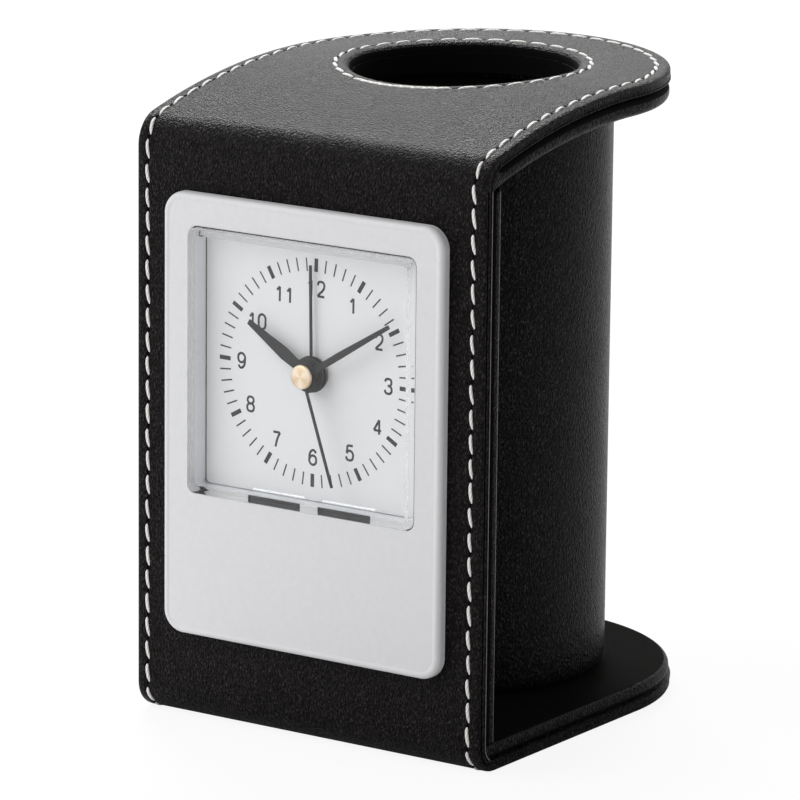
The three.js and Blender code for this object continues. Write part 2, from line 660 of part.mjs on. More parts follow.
function settingWheel() {
  const wheelBack = settingWheelFront + WHEEL_THICKNESS;
  const wheelPhase = meshPhase(MINUTE_TEETH, SETTING_TEETH, SETTING_BEARING);
  const pinionPhase = meshPhase(HOUR_TEETH, SETTING_PINION_TEETH, SETTING_BEARING);
  const wheel = gear(SETTING_TEETH, settingWheelFront, wheelBack, wheelPhase);
  const pinion = gear(SETTING_PINION_TEETH, hourWheelFront, wheelBack, pinionPhase);
  const arbor = rod(SETTING_ARBOR_RADIUS, plateFront + SEAT_GAP, knobFront + KNOB_HEIGHT / 2);
  return wheel.add(pinion).add(arbor);
}

function alarmPinion() {
  const phase = meshPhase(ALARM_TEETH, ALARM_PINION_TEETH, ALARM_BEARING);
  const pinion = gear(ALARM_PINION_TEETH, alarmWheelFront, alarmWheelFront + WHEEL_THICKNESS, phase);
  return pinion.add(rod(SETTING_ARBOR_RADIUS, plateFront + SEAT_GAP, knobFront + KNOB_HEIGHT / 2));
}

// Fluted knob on a setting arbor
function knob() {
  const back = knobFront + KNOB_HEIGHT;
  const points = [];
  for (let flute = 0; flute < 2 * KNOB_FLUTES; flute += 1) {
    const angle = Math.PI * flute / KNOB_FLUTES;
    const radius = flute % 2 ? KNOB_RADIUS : KNOB_RADIUS - GEAR_MODULE / 2;
    points.push(new THREE.Vector2(radius * Math.cos(angle), radius * Math.sin(angle)));
  }
  const grip = throughDepth(new THREE.Shape(points), knobFront, back);
  const bore = rod(SETTING_ARBOR_RADIUS + SEAT_GAP, knobFront - CUT_PAST, back - KNOB_HEIGHT / 3);
  return grip.subtract(bore);
}

// Sealed drive with its coil and step wheels, circuit board, buzzer and alarm switch
const driveBottom = -ARBOR_RADIUS - ARBOR_GAP - ARBOR_WALL;
const driveTop = driveBottom + DRIVE_HEIGHT;

function drive() {
  const half = DRIVE_WIDTH / 2;
  const shape = roundedRectangle(-half, half, driveBottom, driveTop, ARBOR_WALL);
  const block = throughDepth(shape, driveFront, driveBack);
  return block.subtract(rod(ARBOR_RADIUS + ARBOR_GAP, driveFront - CUT_PAST, driveBack + CUT_PAST));
}

function circuitBoard() {
  const half = DRIVE_WIDTH / 2;
  const plate = box(-half, half, circuitFront, circuitFront + BOARD_PLATE, driveBottom, driveTop);
  const chip = rod(DRIVE_HEIGHT / 6, circuitFront, circuitBack, half / 2, driveTop / 2);
  const crystalCan = box(-half / 1.5, -half / 6, circuitFront, circuitBack,
    driveTop / 2 - CHIP_HEIGHT, driveTop / 2 + CHIP_HEIGHT);
  return plate.add(chip).add(crystalCan);
}

function buzzer() {
  const back = backFront - SEAT_GAP;
  return rod(BUZZER_RADIUS, back - BUZZER_DEPTH, back, buzzerPlace.x, buzzerPlace.z, ROUND / 2);
}

function alarmSwitch() {
  const capDepth = backBack + FIT_GAP;
  const stemBack = capDepth + BACK_THICKNESS / 2;
  const footDepth = backFront - FIT_GAP;
  const x = switchPlace.x - SWITCH_TRAVEL / 2;
  const z = switchPlace.z;
  const halfLength = SWITCH_LENGTH / 2;
  const halfWidth = SWITCH_WIDTH / 2;
  const cap = box(x - halfLength, x + halfLength, capDepth, capDepth + BACK_THICKNESS,
    z - halfWidth, z + halfWidth);
  const stem = box(x - stemHalf, x + stemHalf, footDepth - CASE_WALL / 2, stemBack,
    z - stemHeight, z + stemHeight);
  const foot = box(x - halfLength, x + halfLength, footDepth - CASE_WALL, footDepth,
    z - halfWidth, z + halfWidth);
  return cap.add(stem).add(foot);
}

// Finishes
function finish(color, roughness, metalness) {
  return new THREE.MeshStandardMaterial({ color, roughness, metalness });
}

const leather = finish(0x1f1d1d, 0.55, 0);
const cardboard = finish(0x8a7556, 0.9, 0);
const silver = finish(0xd8d9db, 0.4, 0.6);
const clear = finish(0xf4f6f6, 0.05, 0);
const white = finish(0xe4e4e2, 0.7, 0);
const darkMetal = finish(0x4b4848, 0.5, 0.3);
const brass = finish(0xd9b878, 0.3, 1);
const blackPlastic = finish(0x191919, 0.6, 0);
const whitePlastic = finish(0xe9e7e0, 0.5, 0);
const steel = finish(0xb9bbbd, 0.35, 1);
const green = finish(0x2c5a3a, 0.6, 0);
const cell = finish(0x2f6ea3, 0.4, 0.2);

const holder = new THREE.Group();
holder.position.y = frontY;
const clock = new THREE.Group();
clock.position.z = DIAL_HEIGHT;
holder.add(clock);

function place(group, name, manifold, material) {
  const mesh = new THREE.Mesh(geometryOf(manifold), material);
  mesh.name = name;
  group.add(mesh);
  return mesh;
}

place(holder, 'outer_wrap', wrap(), leather);
place(holder, 'top_board', topBoard(), leather);
place(holder, 'front_board', frontBoard(), leather);
place(holder, 'base_board', baseBoard(), leather);
const tubeInside = TUBE_RADIUS - TUBE_SKIN - GLUE_GAP;
place(holder, 'pen_tube', cupTube(tubeInside - TUBE_WALL, tubeInside), cardboard);
place(holder, 'tube_skin', cupTube(TUBE_RADIUS - TUBE_SKIN, TUBE_RADIUS), leather);

place(clock, 'bezel', bezel(), silver);
place(clock, 'crystal', crystal(), clear);
place(clock, 'dial', dial(), white);
place(clock, 'clock_case', clockCase(), blackPlastic);
place(clock, 'case_cover', caseCover(), blackPlastic);
place(clock, 'battery_cover', batteryCover(), blackPlastic);
for (const [index, [side, level]] of [[-1, -1], [1, -1], [-1, 1], [1, 1]].entries()) {
  const screw = place(clock, `case_screw_${index + 1}`, caseScrew(), steel);
  screw.position.set(side * bossPlace, 0, level * bossPlace);
}
const batteryMesh = place(clock, 'battery', battery(), cell);
batteryMesh.position.set(0, batteryDepth, batteryHeight);
place(clock, 'contact_plus', contact(1), steel);
place(clock, 'contact_minus', contact(-1), steel);
place(clock, 'drive_unit', drive(), whitePlastic);
place(clock, 'circuit_board', circuitBoard(), green);
place(clock, 'buzzer', buzzer(), blackPlastic);
place(clock, 'alarm_switch', alarmSwitch(), whitePlastic);

place(clock, 'alarm_wheel', alarmWheel(), whitePlastic);
place(clock, 'hour_wheel', hourWheel(), whitePlastic);
place(clock, 'minute_pinion', minutePinion(), brass);
place(clock, 'second_arbor', secondArbor(), steel);
const setting = new THREE.Group();
setting.position.set(settingPlace.x, 0, settingPlace.z);
const alarmSetting = new THREE.Group();
alarmSetting.position.set(alarmPlace.x, 0, alarmPlace.z);
clock.add(setting, alarmSetting);
place(setting, 'setting_wheel', settingWheel(), whitePlastic);
place(setting, 'time_knob', knob(), blackPlastic);
place(alarmSetting, 'alarm_pinion', alarmPinion(), whitePlastic);
place(alarmSetting, 'alarm_knob', knob(), whitePlastic);

function placeHand(name, blank, angle) {
  place(clock, name, blank, darkMetal).rotation.y = THREE.MathUtils.degToRad(angle);
}

const alarmBlank = thinHand(ALARM_HAND_LENGTH, alarmHandBack, alarmTube, HAND_RIM);
const hourBlank = leafHand(HOUR_HAND_LENGTH, HOUR_HAND_WIDTH, hourHandBack, hourTube);
const minuteBlank = leafHand(MINUTE_HAND_LENGTH, MINUTE_HAND_WIDTH, minuteHandBack, minuteTube);
const secondBlank = thinHand(SECOND_HAND_LENGTH, secondHandBack, ARBOR_RADIUS, 2 * HAND_RIM);
placeHand('alarm_hand', alarmBlank, ALARM_HAND_ANGLE);
placeHand('hour_hand', hourBlank, HOUR_HAND_ANGLE);
placeHand('minute_hand', minuteBlank, MINUTE_HAND_ANGLE);
placeHand('second_hand', secondBlank, SECOND_HAND_ANGLE);

function secondCap() {
  const seat = capBack - SEAT_GAP;
  const chamfer = CAP_HEIGHT / 2;
  return revolved([[0, capFront], [CAP_RADIUS - chamfer, capFront], [CAP_RADIUS, capFront + chamfer],
    [CAP_RADIUS, seat], [0, seat]]);
}

place(clock, 'second_cap', secondCap(), brass);

export default holder;
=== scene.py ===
import math
import random

import bmesh
import bpy
from mathutils import Matrix, Vector


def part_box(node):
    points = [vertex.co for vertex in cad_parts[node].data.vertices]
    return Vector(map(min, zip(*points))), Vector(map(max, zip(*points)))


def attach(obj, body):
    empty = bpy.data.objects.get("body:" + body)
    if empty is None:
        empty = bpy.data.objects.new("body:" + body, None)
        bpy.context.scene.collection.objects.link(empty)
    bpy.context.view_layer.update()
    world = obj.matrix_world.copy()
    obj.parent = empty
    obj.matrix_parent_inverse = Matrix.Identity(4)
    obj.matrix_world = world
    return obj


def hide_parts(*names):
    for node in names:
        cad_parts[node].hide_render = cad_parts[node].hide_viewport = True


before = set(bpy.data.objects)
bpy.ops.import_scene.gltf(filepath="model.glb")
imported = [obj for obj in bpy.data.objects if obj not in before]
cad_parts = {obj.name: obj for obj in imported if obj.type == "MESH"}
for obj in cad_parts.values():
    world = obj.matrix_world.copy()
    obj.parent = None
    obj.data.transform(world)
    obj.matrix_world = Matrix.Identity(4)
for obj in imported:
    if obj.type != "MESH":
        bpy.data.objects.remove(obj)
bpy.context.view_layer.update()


# Outer wrap: a sheet of black grained leatherette over board, cut as a long oblong with round ends,
# then bent under the base, up the front and over the arched top. Its edges are rolled over and creased
# along the sewing line, and its mouth for the pens is turned down into the cup.
MM = 0.001


def box_mm(node):
    """Lowest and highest corner of a solid, in millimetres."""
    return [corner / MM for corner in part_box(node)]


wrap_low, wrap_high = box_mm("outer_wrap")
cup_low, cup_high = box_mm("tube_skin")
HALF_WIDTH = wrap_high.x
FRONT_Y = wrap_low.y
TOP_Z = wrap_high.z
CUP_Y = (cup_low.y + cup_high.y) / 2
BASE_END_Y = wrap_high.y - HALF_WIDTH
SHEET = 2.0
BASE_BEND = 5.0
TOP_BEND = 6.0
ARCH = 155.0
MOUTH = 20.0
LIP = 3.6
LIP_WALL = 0.35
CROWN = 0.9
CROWN_RUN = 25.0
OVAL_STEPS = 128
ON_PLANE = 0.0001

arch_reach = CUP_Y - FRONT_Y - TOP_BEND
arch_rise = math.sqrt((ARCH - TOP_BEND) ** 2 - arch_reach ** 2)
top_turn = math.atan2(arch_rise, arch_reach)
arch_turn = math.pi / 2 - top_turn
front_run = TOP_Z - ARCH + arch_rise - BASE_BEND
base_run = BASE_END_Y - FRONT_Y - BASE_BEND
stretches = [
    (base_run, 0),
    (BASE_BEND * math.pi / 2, math.pi / 2),
    (front_run, 0),
    (TOP_BEND * top_turn, top_turn),
    (ARCH * arch_turn, arch_turn),
]
CUT_LENGTH = sum(length for length, turn in stretches)
CROWN_START = sum(length for length, turn in stretches[:3])


def fold(flat):
    """Bends a point of the flat sheet to its place: along the base, up the front, over the crowned arch."""
    across, along, rise = flat
    y, z, heading = BASE_END_Y, 0.0, math.pi
    share = min(max((along - CROWN_START) / CROWN_RUN, 0), 1)
    crown = CROWN * share ** 2 * (3 - 2 * share) * (1 - (across / HALF_WIDTH) ** 2)
    for length, turn in stretches + [(2 * HALF_WIDTH, 0)]:
        run = min(along, length)
        if turn:
            radius = length / turn
            ahead = heading - run / radius
            y += radius * (math.sin(heading) - math.sin(ahead))
            z += radius * (math.cos(ahead) - math.cos(heading))
            heading = ahead
        else:
            y += run * math.cos(heading)
            z += run * math.sin(heading)
        along -= length
        if along <= 0:
            break
    lift = rise - SHEET
    return Vector((across, y - lift * math.sin(heading), max(z + lift * math.cos(heading) + crown, 0)))


def oval(bm, radius, rise, start, end):
    """Ring of points round a straight run along the flat sheet."""
    ring = bmesh.ops.create_circle(bm, segments=OVAL_STEPS, radius=radius)["verts"]
    half_step = Matrix.Rotation(math.pi / OVAL_STEPS, 3, "Z")
    bmesh.ops.rotate(bm, verts=ring, cent=(0, 0, 0), matrix=half_step)
    for vert in ring:
        vert.co += Vector((0, end if vert.co.y > 0 else start, rise))
    return ring


def bridge(bm, rings):
    """Lays a band of faces from each ring of points to the next."""
    for ring, following in zip(rings, rings[1:]):
        for place, vert in enumerate(ring):
            bm.faces.new((ring[place - 1], vert, following[place], following[place - 1]))


def fill_between(bm, rings):
    """Fills the flat sheet that is left between an outline and the holes in it."""
    edges = [bm.edges.get((ring[place - 1], vert)) for ring in rings for place, vert in enumerate(ring)]
    bmesh.ops.triangle_fill(bm, use_beauty=True, edges=edges)


def cut_across(bm, places, axis):
    """Scores the mesh straight across at places along an axis, so that it can bend there."""
    for place in places:
        geometry = bm.verts[:] + bm.edges[:] + bm.faces[:]
        bmesh.ops.bisect_plane(bm, geom=geometry, dist=ON_PLANE, plane_co=axis * place, plane_no=axis)


def make_piece(bm, name, finishes, body, nodes=(), crease=40):
    """Turns a mesh in millimetres into a piece that moves with a body and stands for its solids."""
    bmesh.ops.scale(bm, vec=(MM, MM, MM), verts=bm.verts)
    mesh = bpy.data.meshes.new(name)
    bm.to_mesh(mesh)
    bm.free()
    mesh.shade_smooth()
    mesh.set_sharp_from_angle(angle=math.radians(crease))
    for finish in finishes:
        mesh.materials.append(finish)
    piece = bpy.data.objects.new(name, mesh)
    bpy.context.scene.collection.objects.link(piece)
    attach(piece, body)
    if nodes:
        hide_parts(*nodes)
    return piece


def srgb(code):
    """Linear colour of an sRGB hex value."""
    channels = [int(code[place:place + 2], 16) / 255 for place in (1, 3, 5)]
    linear = [c / 12.92 if c <= 0.04045 else ((c + 0.055) / 1.055) ** 2.4 for c in channels]
    return (*linear, 1)


def wire(tree, node, inputs):
    """Sets a node's sockets: a plain value, or a link from another node's output."""
    for name, value in inputs.items():
        if isinstance(value, bpy.types.NodeSocket):
            tree.links.new(value, node.inputs[name])
        else:
            node.inputs[name].default_value = value


def add(tree, kind, inputs, **settings):
    """Adds a shader node with its settings and links."""
    node = tree.nodes.new("ShaderNode" + kind)
    for name, value in settings.items():
        setattr(node, name, value)
    wire(tree, node, inputs)
    return node


def surface(name):
    """A new material with its node tree and its shader."""
    material = bpy.data.materials.new(name)
    material.use_nodes = True
    return material, material.node_tree, material.node_tree.nodes["Principled BSDF"]


def coordinates(tree):
    """Place on the object, in metres."""
    return add(tree, "TexCoord", {}).outputs["Object"]


def noise(tree, place, per_mm, detail=2):
    """Cloudy pattern with a number of marks to the millimetre."""
    marks = add(tree, "TexNoise", {"Vector": place, "Scale": per_mm / MM, "Detail": detail})
    return marks.outputs["Fac"]


# Sockets of the node that mixes colours, which have the same names for every kind of value
SHARE, FIRST, SECOND, MIXED = 0, 6, 7, 2


def blend(tree, share, first, second, **settings):
    """Colour that is a share of the way from one to another."""
    mix = add(tree, "Mix", {SHARE: share, FIRST: first, SECOND: second}, data_type="RGBA", **settings)
    return mix.outputs[MIXED]


def compute(tree, operation, *values):
    """Result of a sum on values or outputs."""
    return add(tree, "Math", dict(enumerate(values)), operation=operation).outputs[0]


def relief(tree, height, strength, depth, under=None):
    """Normal of a relief with a depth in millimetres, which can lie over another one."""
    inputs = {"Height": height, "Strength": strength, "Distance": depth * MM}
    if under is not None:
        inputs["Normal"] = under
    return add(tree, "Bump", inputs).outputs["Normal"]


def domed(tree, place, size):
    """Rounded grains of a size in millimetres, parted by fine valleys."""
    cells = add(tree, "TexVoronoi", {"Vector": place, "Scale": 1 / (size * MM)}, feature="DISTANCE_TO_EDGE")
    domes = add(tree, "MapRange", {"Value": cells.outputs["Distance"], "From Max": 0.3},
                interpolation_type="SMOOTHSTEP")
    return domes.outputs["Result"]


def mottled(name, dark, pale, per_mm, looks, detail=2, stretch=None, raised=None, rough=None):
    """A material whose tone, and if given its relief and roughness, wander with marks to the millimetre."""
    material, tree, shader = surface(name)
    place = coordinates(tree)
    if stretch:
        place = add(tree, "Mapping", {"Vector": place, "Scale": stretch}).outputs["Vector"]
    marks = noise(tree, place, per_mm, detail)
    wire(tree, shader, {"Base Color": blend(tree, marks, srgb(dark), srgb(pale)), **looks})
    if raised:
        wire(tree, shader, {"Normal": relief(tree, marks, *raised)})
    if rough:
        span = add(tree, "MapRange", {"Value": marks, "To Min": rough[0], "To Max": rough[1]})
        wire(tree, shader, {"Roughness": span.outputs["Result"]})
    return material


# Embossed polyurethane leatherette: near black, with pebbles of 0.7 mm that are drawn out upwards on the
# front and the cup. Pale flecks on grains of 0.45 mm are painted glints, and gloss only shows at a glancing
# view.
PEBBLE = 0.7
GRAIN = 0.45
FLECK = 0.3
DRAPE = 12.0
SHAKE = 0.0009
leather, tree, shader = surface("leatherette")
place = coordinates(tree)
drawn_out = add(tree, "Mapping", {"Vector": place, "Scale": (1, 1, 0.5)}).outputs["Vector"]
wander = add(tree, "TexNoise", {"Vector": drawn_out, "Scale": 0.6 / (PEBBLE * MM), "Detail": 2})
shaken = blend(tree, SHAKE, drawn_out, wander.outputs["Color"], blend_type="LINEAR_LIGHT")
speckle = noise(tree, drawn_out, 1 / FLECK)
glint_spots = add(tree, "MapRange", {"Value": speckle, "From Min": 0.34, "From Max": 0.72},
             interpolation_type="SMOOTHSTEP")
painted_glints = compute(tree, "MULTIPLY", domed(tree, shaken, GRAIN), glint_spots.outputs["Result"])
drape = noise(tree, place, 1 / DRAPE)
gloss = add(tree, "MapRange", {"Value": drape, "To Min": 0.27, "To Max": 0.36})
waved = relief(tree, drape, 0.3, 0.8)
pebbled = relief(tree, domed(tree, shaken, PEBBLE), 0.8, 0.2, waved)
flecked = relief(tree, speckle, 1.0, 0.25, pebbled)
# Pale flecks painted into the colour stand for glints of light on the grain
wire(tree, shader, {"Base Color": blend(tree, painted_glints, srgb("#0b090a"), srgb("#3c383a")),
                    "Roughness": gloss.outputs["Result"], "Specular IOR Level": 0.045, "Normal": flecked})

# The same leatherette skived thin and turned over the edges: duller, because it is stretched there, with
# paler painted glints as highlights along the edges.
binding = leather.copy()
binding.name = "binding_leatherette"
stretched = binding.node_tree.nodes["Principled BSDF"].inputs
stretched["Specular IOR Level"].default_value = 0.02
# Paler painted glints light up the turned edges
stretched["Base Color"].links[0].from_node.inputs[SECOND].default_value = srgb("#454142")

# Black edge ink, dead matt with brush marks of 1 mm. It stands partly for real ink on the turned edges and
# partly for painted shade: down in the mouth, in the tuck along the front's edges and in the grooves beside
# the boards.
ink_and_painted_shade = mottled("ink_and_painted_shade", "#020202", "#0a0909", 1,
                   {"Roughness": 0.85, "Specular IOR Level": 0.05}, detail=3)

# Pale grey mottled at 1.4 mm: a painted highlight line along the cut edge of the lining and the front
# board's turned-in edge, inside the front.
painted_highlight_line = mottled("lining_edge_painted_highlight", "#454342", "#8a8785", 0.7,
                     {"Roughness": 0.7, "Specular IOR Level": 0.2}, detail=3)

# Each row of the edges is a distance in from the cut edge and a height over the sheet's inner face
CREASE = [(3.15, 2.0), (2.8, 1.95), (2.45, 1.82), (2.1, 1.95)]
EDGE_ROLL = [(1.65, 2.04), (0.9, 2.03), (0.5, 1.97), (0.22, 1.84), (0.1, 1.62), (0.14, 1.45),
             (0.5, 1.36), (0.5, 1.2), (0.1, 1.1), (0.08, 1), (0.1, 0.45), (0.12, 0.32),
             (0, 0.28), (0, 0.05), (0.08, 0), (0.9, 0)]
MOUTH_ROLL = [(1.7, 2.0), (1.15, 1.93), (0.6, 1.7), (0.2, 1.3), (0.02, 0.75), (0, 0), (0, -LIP),
              (-LIP_WALL, -LIP), (-LIP_WALL, 0)]
INKED = 0.6
CUT_EDGE = 0.3
CUT_TOP = 1.5
LINING = 0.3
TUCK = (1.12, 1.43)
TUCK_DEPTH = 0.6
FLUSH = 0.1
OPENING_GAP = 0.2
FLANGE = 2.5
BEND_STEP = math.radians(5)
ARCH_STEP = math.radians(1)
SIDE_STRIPS = 8
SHEET_WELD = 0.01
case_low, case_high = box_mm("clock_case")
opening_half = case_high.x - FLANGE + OPENING_GAP
opening_floor = case_low.z + FLANGE - OPENING_GAP
opening_top = case_high.z - FLANGE + OPENING_GAP
front_start = stretches[0][0] + stretches[1][0] - BASE_BEND

wrap = bmesh.new()
outline = [oval(wrap, HALF_WIDTH - inset, rise, 0, CUT_LENGTH) for inset, rise in CREASE + EDGE_ROLL]
bridge(wrap, outline)
mouth = [oval(wrap, MOUTH + inset, rise, CUT_LENGTH, CUT_LENGTH) for inset, rise in CREASE + MOUTH_ROLL]
bridge(wrap, mouth)
corners = [(side * opening_half, front_start + height) for side, height in (
    (-1, opening_floor), (1, opening_floor), (1, opening_top), (-1, opening_top))]
opening = [[wrap.verts.new((*corner, rise)) for corner in corners] for rise in (SHEET, 0)]
bridge(wrap, opening)
fill_between(wrap, (outline[0], mouth[0], opening[0]))
fill_between(wrap, (outline[-1], mouth[-1], opening[-1]))
bmesh.ops.recalc_face_normals(wrap, faces=wrap.faces)
scores = []
start = 0
for length, turn in stretches:
    count = math.ceil(turn / (ARCH_STEP if turn == arch_turn else BEND_STEP))
    scores += [start + length * step / count for step in range(count + 1)] if count else []
    start += length
cut_across(wrap, scores, Vector((0, 1, 0)))
strips = [step * HALF_WIDTH / SIDE_STRIPS for step in range(1 - SIDE_STRIPS, SIDE_STRIPS)]
cut_across(wrap, strips, Vector((1, 0, 0)))
bmesh.ops.remove_doubles(wrap, verts=wrap.verts, dist=SHEET_WELD)
bmesh.ops.recalc_face_normals(wrap, faces=wrap.faces)
wrap_finishes = [leather, ink_and_painted_shade, painted_highlight_line, binding]
# Painted shade goes down in the mouth and in the tuck up the front
for facet in wrap.faces:
    middle = facet.calc_center_median()
    turned_down = math.hypot(middle.x, middle.y - CUT_LENGTH) < MOUTH + INKED and middle.z < SHEET - INKED
    nearest = min(max(middle.y, 0), CUT_LENGTH)
    inset = HALF_WIDTH - math.hypot(middle.x, middle.y - nearest)
    on_front = front_start < middle.y < CROWN_START
    if turned_down or on_front and inset < TUCK_DEPTH and TUCK[0] < middle.z < TUCK[1]:
        facet.material_index = wrap_finishes.index(ink_and_painted_shade)
    # The lining's cut edge on the front gets the painted highlight line
    elif inset < CUT_EDGE and middle.z < LINING and on_front:
        facet.material_index = wrap_finishes.index(painted_highlight_line)
    elif inset < CUT_EDGE and middle.z < CUT_TOP:
        facet.material_index = wrap_finishes.index(binding)
# The tuck stays open up the front only: elsewhere its points are moved out, flush with the edge
for vert in wrap.verts:
    outwards = Vector((vert.co.x, vert.co.y - min(max(vert.co.y, 0), CUT_LENGTH), 0))
    in_tuck = outwards.length > HALF_WIDTH - TUCK_DEPTH and TUCK[0] < vert.co.z < TUCK[1]
    if in_tuck and not front_start < vert.co.y < CROWN_START:
        vert.co += outwards.normalized() * (HALF_WIDTH - FLUSH - outwards.length)
    vert.co = fold(vert.co)
make_piece(wrap, "leather_wrap", wrap_finishes, "holder", ["outer_wrap"])


# Stitching: bonded white polyester thread in a lock stitch, sewn through wrap and board all round the edge
# and once round the mouth. Four stitches lap over others where the mouth's seam begins and ends. Dark beads
# between the stitches are painted shade in the needle's holes.
STITCH_PITCH = 4.27
STITCH_LENGTH = 4.0
STITCH_WIDTH = 0.66
STITCH_HEIGHT = 0.52
STITCH_DIP = 0.35
STITCH_BOW = 0.16
STITCH_SLANT = math.radians(8.5)
STITCH_BLUNT = 0.5
STITCH_STRAY = 0.08
SLANT_SPREAD = (0.7, 1.3)
LENGTH_SPREAD = (0.94, 1.03)
WIDTH_SPREAD = (0.92, 1.06)
THINNEST = 1e-6
SEAM_INSET = 2.45
SEAM_RISE = 1.94
UNDERSIDE_SINK = 0.3
HOLE_SIZE = (1.1, 0.75, 0.6)
HOLE_SHIFT = 0.2
HOLE_RISE = 1.72
LAPPED = (23.5, 24.5, 25.5, 26.5)
PLIES = 3
PLY_TURN = 3.0
hand = random.Random(7)

# Three plies twisted together: each comes round again after 3 mm, so slanted ribs 1 mm apart show, matt
# and slightly warm white.
thread, tree, shader = surface("polyester_thread")
plies = add(tree, "UVMap", {}, uv_map="thread")
lay = add(tree, "TexWave", {"Vector": plies.outputs["UV"], "Scale": 0.1, "Distortion": 0.3},
          wave_type="BANDS", bands_direction="DIAGONAL").outputs["Fac"]
wire(tree, shader, {"Base Color": blend(tree, lay, srgb("#cfccc8"), srgb("#f2f0ed")), "Roughness": 0.65,
                    "Sheen Weight": 0.2, "Normal": relief(tree, lay, 0.5, 0.08)})

# Painted shade of the needle's holes: near black, fuzzy at 0.1 mm and without gloss.
hole_shade = mottled("needle_hole_shade", "#020202", "#0a0909", 9, {"Roughness": 0.95, "Specular IOR Level": 0.05})


def seam_point(radius, start, end, run):
    """Place and heading on a seam that goes up one side, round the end, down the other side and round."""
    side = end - start
    bow = math.pi * radius
    if run < side:
        return Vector((radius, start + run, 0)), math.pi / 2
    if run < side + bow:
        angle = (run - side) / radius
        return Vector((radius * math.cos(angle), end + radius * math.sin(angle), 0)), angle + math.pi / 2
    if run < 2 * side + bow:
        return Vector((-radius, end - (run - side - bow), 0)), -math.pi / 2
    angle = math.pi + (run - 2 * side - bow) / radius
    return Vector((radius * math.cos(angle), start + radius * math.sin(angle), 0)), angle + math.pi / 2


def sew(threads, holes, radius, start, end, lapped=()):
    """Lays stitches at an even pitch along a seam, with a dark bead of painted shade for a needle hole
    between each two, and laps some over.
    """
    twist = threads.loops.layers.uv.get("thread") or threads.loops.layers.uv.new("thread")
    length = 2 * (end - start) + 2 * math.pi * radius
    count = round(length / STITCH_PITCH)
    for number in (*range(count), *lapped):
        run = length * number / count
        place, heading = seam_point(radius, start, end, run)
        rise = SEAM_RISE - (UNDERSIDE_SINK if place.y < base_run else 0)
        slant = STITCH_SLANT * hand.uniform(*SLANT_SPREAD)
        size = Vector((hand.uniform(*LENGTH_SPREAD) * STITCH_LENGTH,
                       hand.uniform(*WIDTH_SPREAD) * STITCH_WIDTH, STITCH_HEIGHT)) / 2
        grain = bmesh.ops.create_uvsphere(threads, u_segments=8, v_segments=6, radius=1)["verts"]
        turn = Matrix.Rotation(heading + slant, 3, "Z")
        middle = place + Vector((hand.uniform(-STITCH_STRAY, STITCH_STRAY),
                                 hand.uniform(-STITCH_STRAY, STITCH_STRAY), rise))
        bow = STITCH_BOW * math.sin(heading)
        lays = {}
        for vert in grain:
            around = math.atan2(vert.co.x, vert.co.y)
            lays[vert] = (PLIES * 2 * math.pi * vert.co.z * size.x / PLY_TURN, PLIES * around)
            girth = max(math.hypot(vert.co.x, vert.co.y), THINNEST) ** (STITCH_BLUNT - 1)
            local = Vector((vert.co.z * size.x,
                            vert.co.x * size.y * girth + bow * (1 - vert.co.z ** 2),
                            vert.co.y * size.z * girth - STITCH_DIP * vert.co.z ** 4))
            vert.co = fold(middle + turn @ local)
        for facet in {facet for vert in grain for facet in vert.link_faces}:
            for loop in facet.loops:
                loop[twist].uv = lays[loop.vert]
        if number in lapped:
            continue
        place, heading = seam_point(radius, start, end, run + length / count / 2)
        hole = bmesh.ops.create_icosphere(holes, subdivisions=1, radius=0.5)["verts"]
        turn = Matrix.Rotation(heading, 3, "Z")
        for vert in hole:
            local = Vector(a * b for a, b in zip(vert.co, HOLE_SIZE))
            local.y += HOLE_SHIFT * math.sin(heading)
            vert.co = fold(place + turn @ local + Vector((0, 0, HOLE_RISE)))


threads = bmesh.new()
holes = bmesh.new()
sew(threads, holes, HALF_WIDTH - SEAM_INSET, 0, CUT_LENGTH)
sew(threads, holes, MOUTH + SEAM_INSET, CUT_LENGTH, CUT_LENGTH, LAPPED)
make_piece(threads, "stitching", [thread], "holder")
make_piece(holes, "needle_holes", [hole_shade], "holder")


# Boards: grey board covered in black bookcloth and glued inside the wrap, under the top, behind the front
# and on the base. Their round edges are bound in strips of leatherette.
BOUND_FROM = 0.95
GROOVE_FROM = 0.35
TURN_IN = (-0.5, -0.3)
RIM_FROM = 35.9
RIM_STEPS = 6
THROUGH = 0.5
BASE_DRAW_IN = 0.9
BASE_DRAW_START = 18.0
SMOOTH_ANGLE = math.radians(1)
SHARP_ANGLE = math.radians(40)
SHORT_EDGE = 0.3
WELD = 0.001

# Dyed bookcloth: dull black threads 0.35 mm apart, which give almost no gloss even at a glancing view.
bookcloth = mottled("black_bookcloth", "#020202", "#1e1c1b", 1 / 0.35,
                    {"Roughness": 0.6, "Specular IOR Level": 0.003}, detail=3, raised=(1.0, 0.3))


def softened(node, width, segments=3, chosen=None):
    """A solid's own shape in millimetres, with its sharp edges rounded off, or only the chosen ones."""
    bm = bmesh.new()
    bm.from_mesh(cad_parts[node].data)
    bmesh.ops.scale(bm, vec=(1 / MM, 1 / MM, 1 / MM), verts=bm.verts)
    bmesh.ops.remove_doubles(bm, verts=bm.verts, dist=WELD)
    bmesh.ops.dissolve_limit(bm, angle_limit=SMOOTH_ANGLE, verts=bm.verts, edges=bm.edges)
    if chosen:
        bmesh.ops.remove_doubles(bm, verts=bm.verts, dist=SHORT_EDGE)
    sharp = [edge for edge in bm.edges if edge.is_manifold and edge.calc_face_angle() > SHARP_ANGLE
             and (chosen is None or chosen(edge))]
    bmesh.ops.bevel(bm, geom=sharp, offset=width, offset_type="OFFSET", segments=segments, profile=0.5,
                    affect="EDGES", clamp_overlap=chosen is None, material=-1)
    return bm


